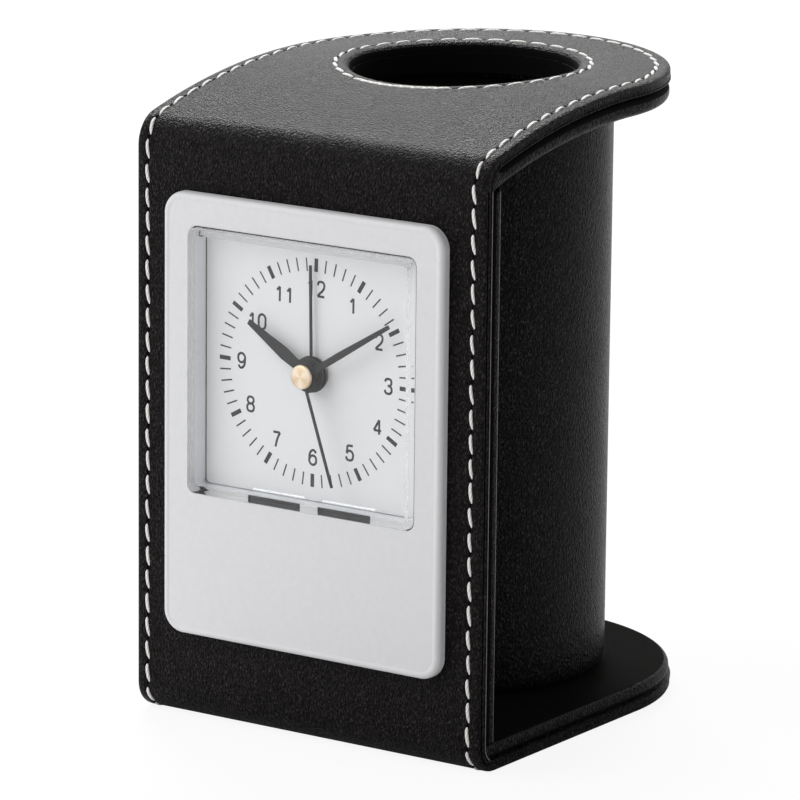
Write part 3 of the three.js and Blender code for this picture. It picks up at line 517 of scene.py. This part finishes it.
def even_shading(piece):
    """Keeps flat faces flat beside their rounded edges."""
    piece.modifiers.new("even_shading", "WEIGHTED_NORMAL").keep_sharp = True


def on_rim(side, outwards):
    """Whether an edge runs along a board's outline, and not through the board or round a hole in it."""
    ends = [vert.co for vert in side.verts]
    places = ends + [(ends[0] + ends[1]) / 2]
    reach = min(math.hypot(place.x, max(place.y - CUP_Y, 0)) for place in places)
    return reach > RIM_FROM and abs((ends[1] - ends[0]).normalized().dot(outwards)) < THROUGH


board_finishes = [bookcloth, binding, ink_and_painted_shade, painted_highlight_line]
for node, outwards, edge in (("top_board", Vector((0, 0, 1)), 1.4),
                             ("front_board", Vector((0, -1, 0)), 1.4),
                             ("base_board", Vector((0, 0, -1)), 1.1)):
    board = softened(node, edge, RIM_STEPS, lambda side: on_rim(side, outwards))
    if node == "base_board":
        rear = max(vert.co.y for vert in board.verts)
        for vert in board.verts:
            share = min(max((vert.co.y - BASE_DRAW_START) / (rear - BASE_DRAW_START), 0), 1)
            vert.co.y -= BASE_DRAW_IN * share
    board.normal_update()
    for facet in board.faces:
        facing = facet.normal.dot(outwards)
        # Faces in the groove beside the wrap are painted shade
        if GROOVE_FROM < facing:
            facet.material_index = board_finishes.index(ink_and_painted_shade)
        # The front board's turned-in edge gets the painted highlight line
        elif node == "front_board" and TURN_IN[0] < facing < TURN_IN[1]:
            facet.material_index = board_finishes.index(painted_highlight_line)
        elif -BOUND_FROM < facing:
            facet.material_index = board_finishes.index(binding)
    even_shading(make_piece(board, "covered_" + node, board_finishes, "holder", [node]))


# Pen cup: a spiral-wound board tube, lined with black paper inside and wrapped in leatherette outside.
# The wrapper meets in an upright butt seam that faces the clock. It stands between base and top board.
CUP_STEPS = 128
SEAM_DEPTH = 0.35
SEAM_WIDTH = 0.9
TUBE_TOP_GAP = 5.8
TUBE_WALL = 2.0
SKIN_GAP = 0.3
FOOT_TUCK = 1.8
FOOT_RISE = 3.0
FOOT_STEPS = 5
tube_low, tube_high = box_mm("pen_tube")


def upright_tube(outside, bore, floor, seam):
    """A tube round the cup's axis, tucked in at its foot and cut at its top to the arch of the top."""
    bm = bmesh.new()
    foot = [(FOOT_TUCK * (1 - math.sin(angle)), FOOT_RISE * (1 - math.cos(angle)))
            for angle in (math.pi / 2 * step / FOOT_STEPS for step in range(FOOT_STEPS + 1))]
    rings = []
    for radius, height in ([(outside - tuck, rise) for tuck, rise in foot] + [(outside, None), (bore, None)]
                           + [(bore - tuck, rise) for tuck, rise in reversed(foot)]):
        ring = bmesh.ops.create_circle(bm, segments=CUP_STEPS, radius=radius)["verts"]
        for vert in ring:
            off_seam = math.atan2(vert.co.x, -vert.co.y) * radius
            vert.co *= 1 - seam * math.exp(-(off_seam / SEAM_WIDTH) ** 2) / radius
            ahead = min(vert.co.y, 0)
            drop = ARCH - TUBE_TOP_GAP - math.sqrt((ARCH - TUBE_TOP_GAP) ** 2 - ahead ** 2)
            vert.co.z = TOP_Z - TUBE_TOP_GAP - drop if height is None else floor + height
            vert.co.y += CUP_Y
        rings.append(ring)
    bridge(bm, rings + rings[:1])
    bmesh.ops.recalc_face_normals(bm, faces=bm.faces)
    return bm


# Dyed black paper: matt, with a faint upright fibre 0.4 mm wide and hardly any gloss.
lining = mottled("black_lining_paper", "#040404", "#0b0a0a", 2.5,
                 {"Roughness": 0.75, "Specular IOR Level": 0.2},
                 detail=3, stretch=(1, 1, 0.08), raised=(0.3, 0.08))

skin_bore = tube_high.x + SKIN_GAP
skin = upright_tube(cup_high.x, skin_bore, cup_low.z, SEAM_DEPTH)
make_piece(skin, "cup_wrapper", [leather], "holder", ["tube_skin"])
core = upright_tube(tube_high.x, tube_high.x - TUBE_WALL, tube_low.z, SEAM_DEPTH)
make_piece(core, "cup_tube", [lining], "holder", ["pen_tube"])


# Clock case and controls: injection moulded, the case pushed through the front from behind and glued by
# its flange. Cover, knobs, switch and battery cover are behind, where fingers reach from the open sides.

# Black ABS with a spark-eroded mould texture: matt, with a grain that is drawn at 0.3 mm so that it shows.
black_plastic = mottled("black_abs", "#141414", "#1d1d1d", 1 / 0.3, {"Roughness": 0.5, "IOR": 1.53},
                        raised=(0.4, 0.03))

# Natural acetal: milky white, smooth from the mould, with a soft gloss and clouds of 1.7 mm.
white_plastic = mottled("white_acetal", "#d9d6cd", "#e9e6de", 0.6, {"Roughness": 0.38, "IOR": 1.48},
                        detail=3, raised=(0.15, 0.03))

for node, name, edge, finish, body, slot in (
        ("clock_case", "moulded_case", 0.3, black_plastic, "holder", "black_plastic"),
        ("case_cover", "case_cover_moulded", 0.3, black_plastic, "holder", "black_plastic"),
        ("battery_cover", "battery_cover_moulded", 0.2, black_plastic, "battery_lid", "black_plastic"),
        ("time_knob", "time_knob_fluted", 0.2, black_plastic, "time_setting", "black_plastic"),
        ("alarm_knob", "alarm_knob_fluted", 0.2, white_plastic, "alarm_setting", "white_plastic"),
        ("alarm_switch", "alarm_switch_cap", 0.25, white_plastic, "alarm_slider", "white_plastic")):
    even_shading(make_piece(softened(node, edge), name, [finish], body, [node]))


# Movement: acetal wheels and drive unit, a brass pinion, a steel arbor, the circuit board, the buzzer and
# the battery's contacts, all inside the case. Their solids are seen as they are and only get a finish.

# Zinc plate over drawn steel: bright grey, with drawing lines 0.2 mm apart and a faint cloudy tone.
steel = mottled("zinc_plated_steel", "#a9abad", "#c4c6c8", 5, {"Metallic": 1},
                stretch=(1, 0.1, 1), rough=(0.25, 0.4))

# Pale brass faced on a lathe, with fine rings about the arbor in relief; soft rays of highlight are painted
# into its colour.
RAYS = 3
arbor_low, arbor_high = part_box("second_arbor")
brass, tree, shader = surface("turned_brass")
centred = add(tree, "Mapping", {"Vector": coordinates(tree), "Location": -(arbor_low + arbor_high) / 2})
face_on = add(tree, "Mapping", {"Vector": centred.outputs["Vector"], "Rotation": (math.pi / 2, 0, 0)})
sweep = add(tree, "TexGradient", {"Vector": face_on.outputs["Vector"]}, gradient_type="RADIAL")
painted_rays = compute(tree, "SINE", compute(tree, "MULTIPLY", sweep.outputs["Fac"], 2 * math.pi * RAYS))
lit = add(tree, "MapRange", {"Value": painted_rays, "From Min": -1})
rings = add(tree, "TexWave", {"Vector": centred.outputs["Vector"], "Scale": 900, "Distortion": 0.4},
            wave_type="RINGS", rings_direction="Y")
wire(tree, shader, {"Base Color": blend(tree, lit.outputs["Result"], srgb("#d9bf9c"), srgb("#eddcc4")),
                    "Metallic": 1, "Roughness": 0.35,
                    "Normal": relief(tree, rings.outputs["Fac"], 0.35, 0.04)})

# Green solder lacquer over woven glass: the weave of 0.4 mm shows faintly.
laminate, tree, shader = surface("circuit_laminate")
weave = add(tree, "TexChecker", {"Vector": coordinates(tree), "Scale": 2500,
                                 "Color1": srgb("#1d4a2c"), "Color2": srgb("#245634")})
wire(tree, shader, {"Base Color": weave.outputs["Color"], "Roughness": 0.35})

for finish, nodes in (
        (white_plastic, ("drive_unit", "alarm_wheel", "hour_wheel", "setting_wheel", "alarm_pinion")),
        (steel, ("second_arbor", "contact_plus", "contact_minus")),
        (brass, ("minute_pinion",)), (laminate, ("circuit_board",)), (black_plastic, ("buzzer",))):
    for node in nodes:
        for material_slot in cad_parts[node].material_slots:
            material_slot.material = finish


# Dial: matt coated card with a printed minute track and numbers, clipped behind the crystal's rim.
# Ticks and numbers are one film of dark grey ink.
CARD = 0.15
CARD_EDGE = 0.05
FILM = 0.03
TRACK_OUTSIDE = 20.0
TRACK_INSIDE = 17.7
HOUR_TICK = 0.75
MINUTE_TICK = 0.26
NUMBER_REACH = 15.35
NUMBER_RISE = 14.8
NUMBER_HEIGHT = 3.0
NUMBER_WIDTH = 1.85
NUMBER_STROKE = 0.43
NUMBER_SPACE = 0.3
PRINT_TURN = math.radians(0.8)
dial_low, dial_high = box_mm("dial")
DIAL_Z = (dial_low.z + dial_high.z) / 2
CARD_FRONT = dial_high.y - CARD

# Clay coated card: plain white, matt, with a very faint paper tooth of 0.25 mm.
card = mottled("coated_card", "#e8e8e8", "#ececec", 4,
               {"Roughness": 0.8, "Specular IOR Level": 0.2}, detail=3)

# Screen printed ink: dark grey and flat, with a lay down that is slightly uneven at 0.3 mm.
ink = mottled("screen_ink", "#2f2e2e", "#3a3939", 3, {"Roughness": 0.6, "Specular IOR Level": 0.3})

sheet = softened("dial", CARD_EDGE, 1)
for vert in sheet.verts:
    vert.co.y = dial_high.y - (dial_high.y - vert.co.y) * CARD / (dial_high.y - dial_low.y)
even_shading(make_piece(sheet, "dial_card", [card], "holder", ["dial"]))

# Strokes of the numbers in a unit box: straight ones have two points, curved ones more
SIX = [[(0.94, 0.82), (0.75, 0.97), (0.5, 1), (0.12, 0.82), (0, 0.45), (0.06, 0.16), (0.5, 0),
        (0.94, 0.14), (1, 0.34), (0.9, 0.54), (0.52, 0.63), (0.14, 0.52), (0.02, 0.36)]]
STROKES = {
    "0": [[(0.5, 1), (0.9, 0.88), (1, 0.5), (0.9, 0.12), (0.5, 0), (0.1, 0.12), (0, 0.5), (0.1, 0.88),
           (0.5, 1)]],
    "1": [[(0.2, 0.74), (0.62, 1)], [(0.62, 1), (0.62, 0)]],
    "2": [[(0.02, 0.74), (0.14, 0.93), (0.5, 1), (0.88, 0.92), (0.97, 0.7), (0.8, 0.46), (0.3, 0.18),
           (0, 0)], [(0, 0), (1, 0)]],
    "3": [[(0.02, 0.8), (0.18, 0.95), (0.5, 1), (0.86, 0.93), (0.94, 0.75), (0.8, 0.58), (0.42, 0.53)],
          [(0.42, 0.53), (0.84, 0.47), (1, 0.27), (0.86, 0.06), (0.5, 0), (0.14, 0.06), (0, 0.24)]],
    "4": [[(0.76, 0), (0.76, 1)], [(0.76, 1), (0, 0.27)], [(0, 0.27), (1.06, 0.27)]],
    "5": [[(0.95, 1), (0.16, 1)], [(0.16, 1), (0.08, 0.46)],
          [(0.08, 0.46), (0.3, 0.62), (0.58, 0.65), (0.92, 0.52), (1, 0.3), (0.86, 0.07), (0.5, 0),
           (0.12, 0.06), (0, 0.24)]],
    "6": SIX,
    "7": [[(0, 1), (1, 1)], [(1, 1), (0.62, 0.56), (0.36, 0)]],
    "8": [[(0.5, 0.53), (0.12, 0.64), (0.06, 0.8), (0.2, 0.95), (0.5, 1), (0.8, 0.95), (0.94, 0.8),
           (0.88, 0.64), (0.5, 0.53)],
          [(0.5, 0.53), (0.08, 0.42), (0, 0.25), (0.14, 0.06), (0.5, 0), (0.86, 0.06), (1, 0.25),
           (0.92, 0.42), (0.5, 0.53)]],
    "9": [[(1 - x, 1 - z) for x, z in SIX[0]]],
}


def pen_stroke(bm, points):
    """Lays one stroke of a number on the dial as a flat film."""
    curve = bpy.data.curves.new("stroke", "CURVE")
    curve.dimensions = "3D"
    curve.bevel_depth = NUMBER_STROKE / 2
    curve.bevel_resolution = 0
    curve.use_fill_caps = True
    curve.resolution_u = 8
    closed = points[0] == points[-1]
    points = points[:-1] if closed else points
    spline = curve.splines.new("BEZIER")
    spline.bezier_points.add(len(points) - 1)
    spline.use_cyclic_u = closed
    for knot, (x, z) in zip(spline.bezier_points, points):
        knot.co = (x, 0, z)
        knot.handle_left_type = knot.handle_right_type = "AUTO"
    drawing = bpy.data.objects.new("stroke", curve)
    inked = bmesh.new()
    inked.from_mesh(drawing.to_mesh())
    bmesh.ops.remove_doubles(inked, verts=inked.verts, dist=WELD)
    bmesh.ops.scale(inked, vec=(1, FILM / NUMBER_STROKE, 1), verts=inked.verts)
    film = bpy.data.meshes.new("film")
    inked.to_mesh(film)
    inked.free()
    bm.from_mesh(film)
    bpy.data.objects.remove(drawing)
    bpy.data.curves.remove(curve)
    bpy.data.meshes.remove(film)


print_film = bmesh.new()
for minute in range(60):
    width = MINUTE_TICK if minute % 5 else HOUR_TICK
    aim = Matrix.Rotation(math.radians(6 * minute), 4, "Y")
    middle = Matrix.Translation((0, 0, (TRACK_OUTSIDE + TRACK_INSIDE) / 2))
    size = Matrix.Diagonal((width, FILM, TRACK_OUTSIDE - TRACK_INSIDE, 1))
    bmesh.ops.create_cube(print_film, size=1, matrix=aim @ middle @ size)
for hour in range(1, 13):
    digits = str(hour)
    angle = math.radians(30 * hour)
    span = len(digits) * NUMBER_WIDTH + (len(digits) - 1) * NUMBER_SPACE
    column = NUMBER_REACH * math.sin(angle)
    column -= math.copysign((span - NUMBER_WIDTH) / 2, column) if hour % 6 else 0
    low = NUMBER_RISE * math.cos(angle) - NUMBER_HEIGHT / 2
    for count, digit in enumerate(digits):
        left = column - span / 2 + count * (NUMBER_WIDTH + NUMBER_SPACE)
        for stroke in STROKES[digit]:
            pen_stroke(print_film, [
                (left + NUMBER_STROKE / 2 + x * (NUMBER_WIDTH - NUMBER_STROKE),
                 low + NUMBER_STROKE / 2 + z * (NUMBER_HEIGHT - NUMBER_STROKE)) for x, z in stroke])
bmesh.ops.rotate(print_film, verts=print_film.verts, cent=(0, 0, 0),
                 matrix=Matrix.Rotation(PRINT_TURN, 3, "Y"))
bmesh.ops.translate(print_film, verts=print_film.verts, vec=(0, CARD_FRONT, DIAL_Z))
make_piece(print_film, "dial_print", [ink], "holder")


# Hands: stamped brass strip, lacquered dark grey and pressed on their tubes, with a turned brass cap
# that closes the seconds arbor. The minute hand is drawn in towards its root.
HAND_EDGE = 0.05
HUB = 2.3
HUB_SLACK = 0.01
CAP_STEPS = 48
CAP_FLAT = 0.6

# Dark grey lacquer on stamped strip: satin, with a faint mottle of the rolled metal under it.
lacquer = mottled("hand_lacquer", "#100f0f", "#191717", 2.2, {"Roughness": 0.55})


def drawn_in(blade, root, tip):
    """Draws a blade in to shares of its width, from its root at the hub to its tip."""
    arms = [vert.co - Vector((0, vert.co.y, DIAL_Z)) for vert in blade.verts]
    reach = max(arms, key=lambda arm: arm.length)
    ahead = reach.normalized()
    for vert, arm in zip(blade.verts, arms):
        along = arm.dot(ahead)
        if along > HUB - HUB_SLACK:
            aside = arm - ahead * along
            vert.co -= aside * (1 - root - (tip - root) * along / reach.length)


for node, body, root, tip in (("hour_hand", "hour_work", 1, 1), ("minute_hand", "minute_work", 0.48, 1),
                              ("second_hand", "second_work", 1, 1), ("alarm_hand", "alarm_work", 1, 1)):
    blade = softened(node, HAND_EDGE, 2)
    drawn_in(blade, root, tip)
    even_shading(make_piece(blade, node + "_stamped", [lacquer], body, [node]))


def lathed(points, axis, steps):
    """Spins a profile full round an axis through the origin."""
    bm = bmesh.new()
    verts = [bm.verts.new(point) for point in points]
    edges = [bm.edges.new(pair) for pair in zip(verts, verts[1:])]
    bmesh.ops.spin(bm, geom=verts + edges, cent=(0, 0, 0), axis=axis, angle=2 * math.pi, steps=steps,
                   use_merge=True)
    bmesh.ops.remove_doubles(bm, verts=bm.verts, dist=WELD)
    bmesh.ops.recalc_face_normals(bm, faces=bm.faces)
    return bm


# Each row of the cap's edge is a distance in from its rim and back from its face
CAP_EDGE = [(0.3, 0.03), (0.1, 0.1), (0, 0.25)]
cap_low, cap_high = box_mm("second_cap")
cap_profile = [(0, cap_low.y, 0), (CAP_FLAT, cap_low.y, 0)]
cap_profile += [(cap_high.x - inset, cap_low.y + back, 0) for inset, back in CAP_EDGE]
cap_profile += [(cap_high.x, cap_high.y, 0), (0, cap_high.y, 0)]
cap = lathed(cap_profile, (0, 1, 0), CAP_STEPS)
bmesh.ops.translate(cap, verts=cap.verts, vec=(0, 0, DIAL_Z))
even_shading(make_piece(cap, "second_cap_turned", [brass], "second_work", ["second_cap"]))


# Crystal: a square lid, injection moulded in clear acrylic, with polished bevels. It is dropped over the
# dial into the bezel's window.
CORNER_STEPS = 12
CRYSTAL_CORNER = 1.6
CRYSTAL_BEVEL = 0.7
CRYSTAL_WALL = 1.4
CRYSTAL_PANE = 1.2
POCKET_CORNER = 0.7
BEVEL_STEPS = 2
RIM_SEAT = 0.02
RIM_BACK = CARD_FRONT + RIM_SEAT
crystal_low, crystal_high = box_mm("crystal")

# Polished acrylic: colourless, with the faintest ripple of 8 mm from the mould. Lamps shine through it.
acrylic, tree, shader = surface("clear_acrylic")
ripple = noise(tree, coordinates(tree), 0.12)
wire(tree, shader, {"Base Color": srgb("#fcfdff"), "Roughness": 0.015, "IOR": 1.3,
                    "Specular IOR Level": 0.35, "Transmission Weight": 1,
                    "Normal": relief(tree, ripple, 0.004, 0.2)})
path = add(tree, "LightPath", {}).outputs
lamps = compute(tree, "MAXIMUM", path["Is Shadow Ray"], path["Is Diffuse Ray"])
clear = add(tree, "BsdfTransparent", {"Color": srgb("#fbfbfb")})
passing = add(tree, "MixShader", {0: lamps, 1: shader.outputs[0], 2: clear.outputs[0]})
wire(tree, tree.nodes["Material Output"], {"Surface": passing.outputs[0]})


def rounded_ring(bm, half, low, high, corner, depth):
    """Rounded rectangle of points in a plane that faces the reader."""
    ring = bmesh.ops.create_circle(bm, segments=4 * CORNER_STEPS, radius=corner)["verts"]
    half_step = Matrix.Rotation(math.pi / (4 * CORNER_STEPS), 3, "Z")
    bmesh.ops.rotate(bm, verts=ring, cent=(0, 0, 0), matrix=half_step)
    for vert in ring:
        x = vert.co.x + math.copysign(half - corner, vert.co.x)
        z = vert.co.y + (high - corner if vert.co.y > 0 else low + corner)
        vert.co = (x, depth, z)
    return ring


def square_ring(bm, inset, corner, depth):
    """Ring of the crystal's outline, drawn in by an inset."""
    half = crystal_high.x - inset
    return rounded_ring(bm, half, DIAL_Z - half, DIAL_Z + half, corner, depth)


crystal = bmesh.new()
pocket = [square_ring(crystal, CRYSTAL_WALL, POCKET_CORNER, depth)
          for depth in (crystal_low.y + CRYSTAL_PANE, RIM_BACK)]
rims = [square_ring(crystal, 0, CRYSTAL_CORNER, depth)
        for depth in (RIM_BACK, crystal_low.y + CRYSTAL_BEVEL)]
for step in range(1, BEVEL_STEPS + 1):
    angle = math.pi / 2 * step / BEVEL_STEPS
    inset = CRYSTAL_BEVEL * (1 - math.cos(angle))
    depth = crystal_low.y + CRYSTAL_BEVEL * (1 - math.sin(angle))
    rims.append(square_ring(crystal, inset, CRYSTAL_CORNER - inset, depth))
bridge(crystal, pocket + rims)
crystal.faces.new(pocket[0])
crystal.faces.new(rims[-1])
bmesh.ops.recalc_face_normals(crystal, faces=crystal.faces)
even_shading(make_piece(crystal, "crystal_lid", [acrylic], "holder", ["crystal"], crease=35))


# Bezel: an ABS plate, moulded with a soft edge and a window for the crystal, and sprayed with silver
# paint. Its skirt goes back into the case.
BEZEL_CORNER = 4.0
EDGE_WIDTH = 0.75
EDGE_HEIGHT = 1.0
EDGE_STEPS = 12
RIM_FLAT = 0.2
BEZEL_PLATE = 2.0
FACE_STEP = 0.12
STEP_RUN = 0.4
WINDOW_HALF = 23.6
WINDOW_CORNER = 1.7
WINDOW_EDGE = 0.25
SKIRT_WALL = 1.2
FLAKE = 0.12
bezel_low, bezel_high = box_mm("bezel")
plate_back = bezel_low.y + BEZEL_PLATE
face_depth = bezel_low.y + FACE_STEP

# Silver paint: aluminium flakes of 0.12 mm in clear binder, so a pale even sheen with a slight sparkle.
silver = mottled("silver_paint", "#d3d3d5", "#dbdbdd", 0.9, {"Metallic": 0, "Specular IOR Level": 0.3},
                 detail=3, rough=(0.36, 0.46))
tree = silver.node_tree
flakes = add(tree, "TexVoronoi", {"Vector": coordinates(tree), "Scale": 1 / (FLAKE * MM)})
sparkle = relief(tree, flakes.outputs["Distance"], 0.08, 0.05)
wire(tree, tree.nodes["Principled BSDF"], {"Normal": sparkle})

# Inside the window's edge the wall is a paler white than the silver, painted light for a wall that lies in
# shade, with faint flow marks of 4 mm.
window_painted_light = mottled("window_wall_painted_light", "#eeeff1", "#f6f7f8", 0.25,
                       {"Roughness": 0.45, "Specular IOR Level": 0.4})


def bezel_ring(bm, inset, depth):
    """Ring of the bezel's outline, drawn in by an inset."""
    return rounded_ring(bm, bezel_high.x - inset, bezel_low.z + inset, bezel_high.z - inset,
                        BEZEL_CORNER - inset, depth)


def window_ring(bm, outset, depth):
    """Ring of the window that the crystal stands in, widened by an outset."""
    half = WINDOW_HALF + outset
    return rounded_ring(bm, half, DIAL_Z - half, DIAL_Z + half, WINDOW_CORNER + outset, depth)


bezel = bmesh.new()
rows = [window_ring(bezel, outset, depth) for outset, depth in (
    (SKIRT_WALL, plate_back), (SKIRT_WALL, bezel_high.y), (0, bezel_high.y), (0, face_depth + WINDOW_EDGE),
    (WINDOW_EDGE / 3, face_depth + WINDOW_EDGE / 3), (WINDOW_EDGE, face_depth))]
rows.append(bezel_ring(bezel, EDGE_WIDTH + RIM_FLAT + STEP_RUN, face_depth))
rows.append(bezel_ring(bezel, EDGE_WIDTH + RIM_FLAT, bezel_low.y))
for step in range(EDGE_STEPS + 1):
    angle = math.pi / 2 * step / EDGE_STEPS
    rows.append(bezel_ring(bezel, EDGE_WIDTH * (1 - math.sin(angle)),
                           bezel_low.y + EDGE_HEIGHT * (1 - math.cos(angle))))
rows.append(bezel_ring(bezel, 0, plate_back))
bridge(bezel, rows + rows[:1])
bmesh.ops.recalc_face_normals(bezel, faces=bezel.faces)
bezel_finishes = [silver, window_painted_light]
# The window's inner wall gets the paler white as painted light
for facet in bezel.faces:
    middle = facet.calc_center_median()
    reach = max(abs(middle.x), abs(middle.z - DIAL_Z))
    if reach < WINDOW_HALF + WINDOW_EDGE and middle.y > face_depth + WINDOW_EDGE:
        facet.material_index = bezel_finishes.index(window_painted_light)
even_shading(make_piece(bezel, "bezel_painted", bezel_finishes, "holder", ["bezel"], crease=12))


# Shadow line: a thin black bead between the crystal and the window, sunk below the bezel's face. It is
# painted shadow in the gap, as matt as the edge ink.
BEAD = (0.02, 0.18)
BEAD_SINK = 0.35
BEAD_DEPTH = 0.2
BEAD_TOP = face_depth + BEAD_SINK
shadow_bead = bmesh.new()
seal = [window_ring(shadow_bead, -inset, depth) for inset, depth in (
    (BEAD[0], BEAD_TOP), (BEAD[1], BEAD_TOP), (BEAD[1], BEAD_TOP + BEAD_DEPTH),
    (BEAD[0], BEAD_TOP + BEAD_DEPTH))]
bridge(shadow_bead, seal + seal[:1])
bmesh.ops.recalc_face_normals(shadow_bead, faces=shadow_bead.faces)
make_piece(shadow_bead, "painted_shadow_bead", [ink_and_painted_shade], "holder")


# Case screws: four of plated steel, pan head with a cross recess, driven from behind through the cover
# into the case's bosses.
SCREW_STEPS = 24
HEAD_HEIGHT = 1.4
HEAD_EDGE = 0.5
SHANK = 0.7
TIP = 0.7
RECESS_REACH = 1.15
RECESS_HALF = 0.28
RECESS_DEPTH = 0.6
for number in range(1, 5):
    node = f"case_screw_{number}"
    screw_low, screw_high = box_mm(node)
    head = (screw_high.x - screw_low.x) / 2
    seat = screw_high.y - HEAD_HEIGHT
    profile = [(0, screw_high.y), (0.9, screw_high.y - 0.05), (1.6, screw_high.y - 0.25),
               (head - 0.1, seat + HEAD_EDGE), (head, seat + HEAD_EDGE / 2), (head, seat), (SHANK, seat),
               (SHANK, screw_low.y + TIP), (0, screw_low.y)]
    screw = lathed([(radius, depth, 0) for radius, depth in profile], (0, 1, 0), SCREW_STEPS)
    for axis in (Vector((1, 0, 0)), Vector((0, 0, 1))):
        cut_across(screw, (-RECESS_REACH, -RECESS_HALF, RECESS_HALF, RECESS_REACH), axis)
    recess = []
    for facet in screw.faces:
        middle = facet.calc_center_median()
        wide, narrow = sorted((abs(middle.x), abs(middle.z)), reverse=True)
        if middle.y > seat + HEAD_EDGE and wide < RECESS_REACH and narrow < RECESS_HALF:
            recess.append(facet)
    pressed = bmesh.ops.extrude_face_region(screw, geom=recess)["geom"]
    bmesh.ops.delete(screw, geom=recess, context="FACES")
    bmesh.ops.translate(screw, verts=[item for item in pressed if isinstance(item, bmesh.types.BMVert)],
                        vec=(0, -RECESS_DEPTH, 0))
    centre = (screw_low + screw_high) / 2
    bmesh.ops.translate(screw, verts=screw.verts, vec=(centre.x, 0, centre.z))
    make_piece(screw, f"case_screw_{number}_cross", [steel], "holder", [node])


# Battery: one AAA cell, a drawn steel can in a shrunk sleeve, with its raised pole at one end. It lies
# between the contacts in a bay under the movement, behind the battery cover.
CELL_STEPS = 48
BAND_FROM = 11.0
battery_low, battery_high = box_mm("battery")
CELL_RADIUS = (battery_high.z - battery_low.z) / 2
NUB = CELL_RADIUS / 3
shoulder = battery_high.x - NUB / 2

# Printed plastic film: a dark body with a plain copper band at the raised pole, glossy.
sleeve = mottled("shrink_sleeve", "#22252b", "#2b2f36", 1.5, {"Roughness": 0.28})
tree = sleeve.node_tree
shader = tree.nodes["Principled BSDF"]
dark = shader.inputs["Base Color"].links[0].from_socket
along = add(tree, "SeparateXYZ", {"Vector": coordinates(tree)})
band = compute(tree, "GREATER_THAN", along.outputs["X"], BAND_FROM * MM)
wire(tree, shader, {"Base Color": blend(tree, band, dark, srgb("#b9743c"))})

# Each row of the can's rounded ends is a distance along from the end and in from the side
CAN_END = [(0, 0.8), (0.2, 0.2), (0.7, 0)]
can = [(battery_low.x, 0)]
can += [(battery_low.x + run, CELL_RADIUS - inset) for run, inset in CAN_END]
can += [(shoulder - run, CELL_RADIUS - inset) for run, inset in reversed(CAN_END)]
can += [(shoulder, NUB), (battery_high.x - 0.2, NUB), (battery_high.x, NUB - 0.3), (battery_high.x, 0)]
cell = lathed([(run, 0, radius) for run, radius in can], (1, 0, 0), CELL_STEPS)
cell_middle = (battery_low + battery_high) / 2
bmesh.ops.translate(cell, verts=cell.verts, vec=(0, cell_middle.y, cell_middle.z))
even_shading(make_piece(cell, "battery_cell", [sleeve], "holder", ["battery"]))


# Studio: a floor of white paper in a white room. One large soft lamp stands in front at the upper left,
# and a second one behind on the left lights the top.
AMBIENT = 0.38
FLOOR_HALF = 3.0
FLOOR_WHITE = 0.9
LAMP_AIM = Vector((0, 0, 0.05))
scene = bpy.context.scene
scene.view_settings.view_transform = "Standard"
world = bpy.data.worlds.new("white_room")
scene.world = world
world.use_nodes = True
tree = world.node_tree
path = add(tree, "LightPath", {}).outputs
mirrored = compute(tree, "MAXIMUM", path["Is Camera Ray"], path["Is Glossy Ray"])
seen = compute(tree, "MAXIMUM", mirrored, path["Is Transmission Ray"])
strength = add(tree, "MapRange", {"Value": seen, "To Min": AMBIENT, "To Max": 1.0})
wire(tree, tree.nodes["Background"], {"Color": (1, 1, 1, 1), "Strength": strength.outputs["Result"]})

# Matt white paper: brought up to white for the camera, and it still takes the shadow of the object.
paper = mottled("white_paper_sweep", "#f4f4f4", "#f8f8f8", 0.3, {"Roughness": 0.9, "Specular IOR Level": 0})
tree = paper.node_tree
path = add(tree, "LightPath", {}).outputs
glow = add(tree, "Emission", {"Color": (1, 1, 1, 1), "Strength": 1.0})
lifted = add(tree, "MixShader", {0: compute(tree, "MULTIPLY", path["Is Camera Ray"], FLOOR_WHITE),
                                 1: tree.nodes["Principled BSDF"].outputs[0], 2: glow.outputs[0]})
wire(tree, tree.nodes["Material Output"], {"Surface": lifted.outputs[0]})
floor_mesh = bmesh.new()
bmesh.ops.create_grid(floor_mesh, x_segments=1, y_segments=1, size=FLOOR_HALF)
floor_data = bpy.data.meshes.new("paper_floor")
floor_mesh.to_mesh(floor_data)
floor_mesh.free()
floor_data.materials.append(paper)
floor = bpy.data.objects.new("paper_floor", floor_data)
scene.collection.objects.link(floor)

for name, location, size, power in (("key", (-0.7, -0.8, 0.9), 1.2, 11.6),
                                    ("top", (-0.77, 0.82, 0.94), 0.8, 22)):
    lamp = bpy.data.lights.new(name, "AREA")
    lamp.size = size
    lamp.energy = power
    stand = bpy.data.objects.new(name, lamp)
    stand.location = location
    stand.rotation_euler = (LAMP_AIM - stand.location).to_track_quat("-Z", "Y").to_euler()
    scene.collection.objects.link(stand)

# Camera: to the right of the dial and a little above, from across a table
AZIMUTH = math.radians(34.206)
ELEVATION = math.radians(12.995)
ROLL = math.radians(0.64)
DISTANCE = 1.0
TARGET = Vector((0, -0.006975, 0.052))
view = bpy.data.cameras.new("view")
view.sensor_width = 36
view.lens = 255.9
view.shift_x = -0.02746
view.shift_y = 0.01619
camera = bpy.data.objects.new("view", view)
turn = (Matrix.Rotation(AZIMUTH, 4, "Z") @ Matrix.Rotation(math.pi / 2 - ELEVATION, 4, "X")
        @ Matrix.Rotation(ROLL, 4, "Z"))
camera.matrix_world = Matrix.Translation(TARGET + turn.to_3x3() @ Vector((0, 0, DISTANCE))) @ turn
scene.collection.objects.link(camera)
scene.camera = camera
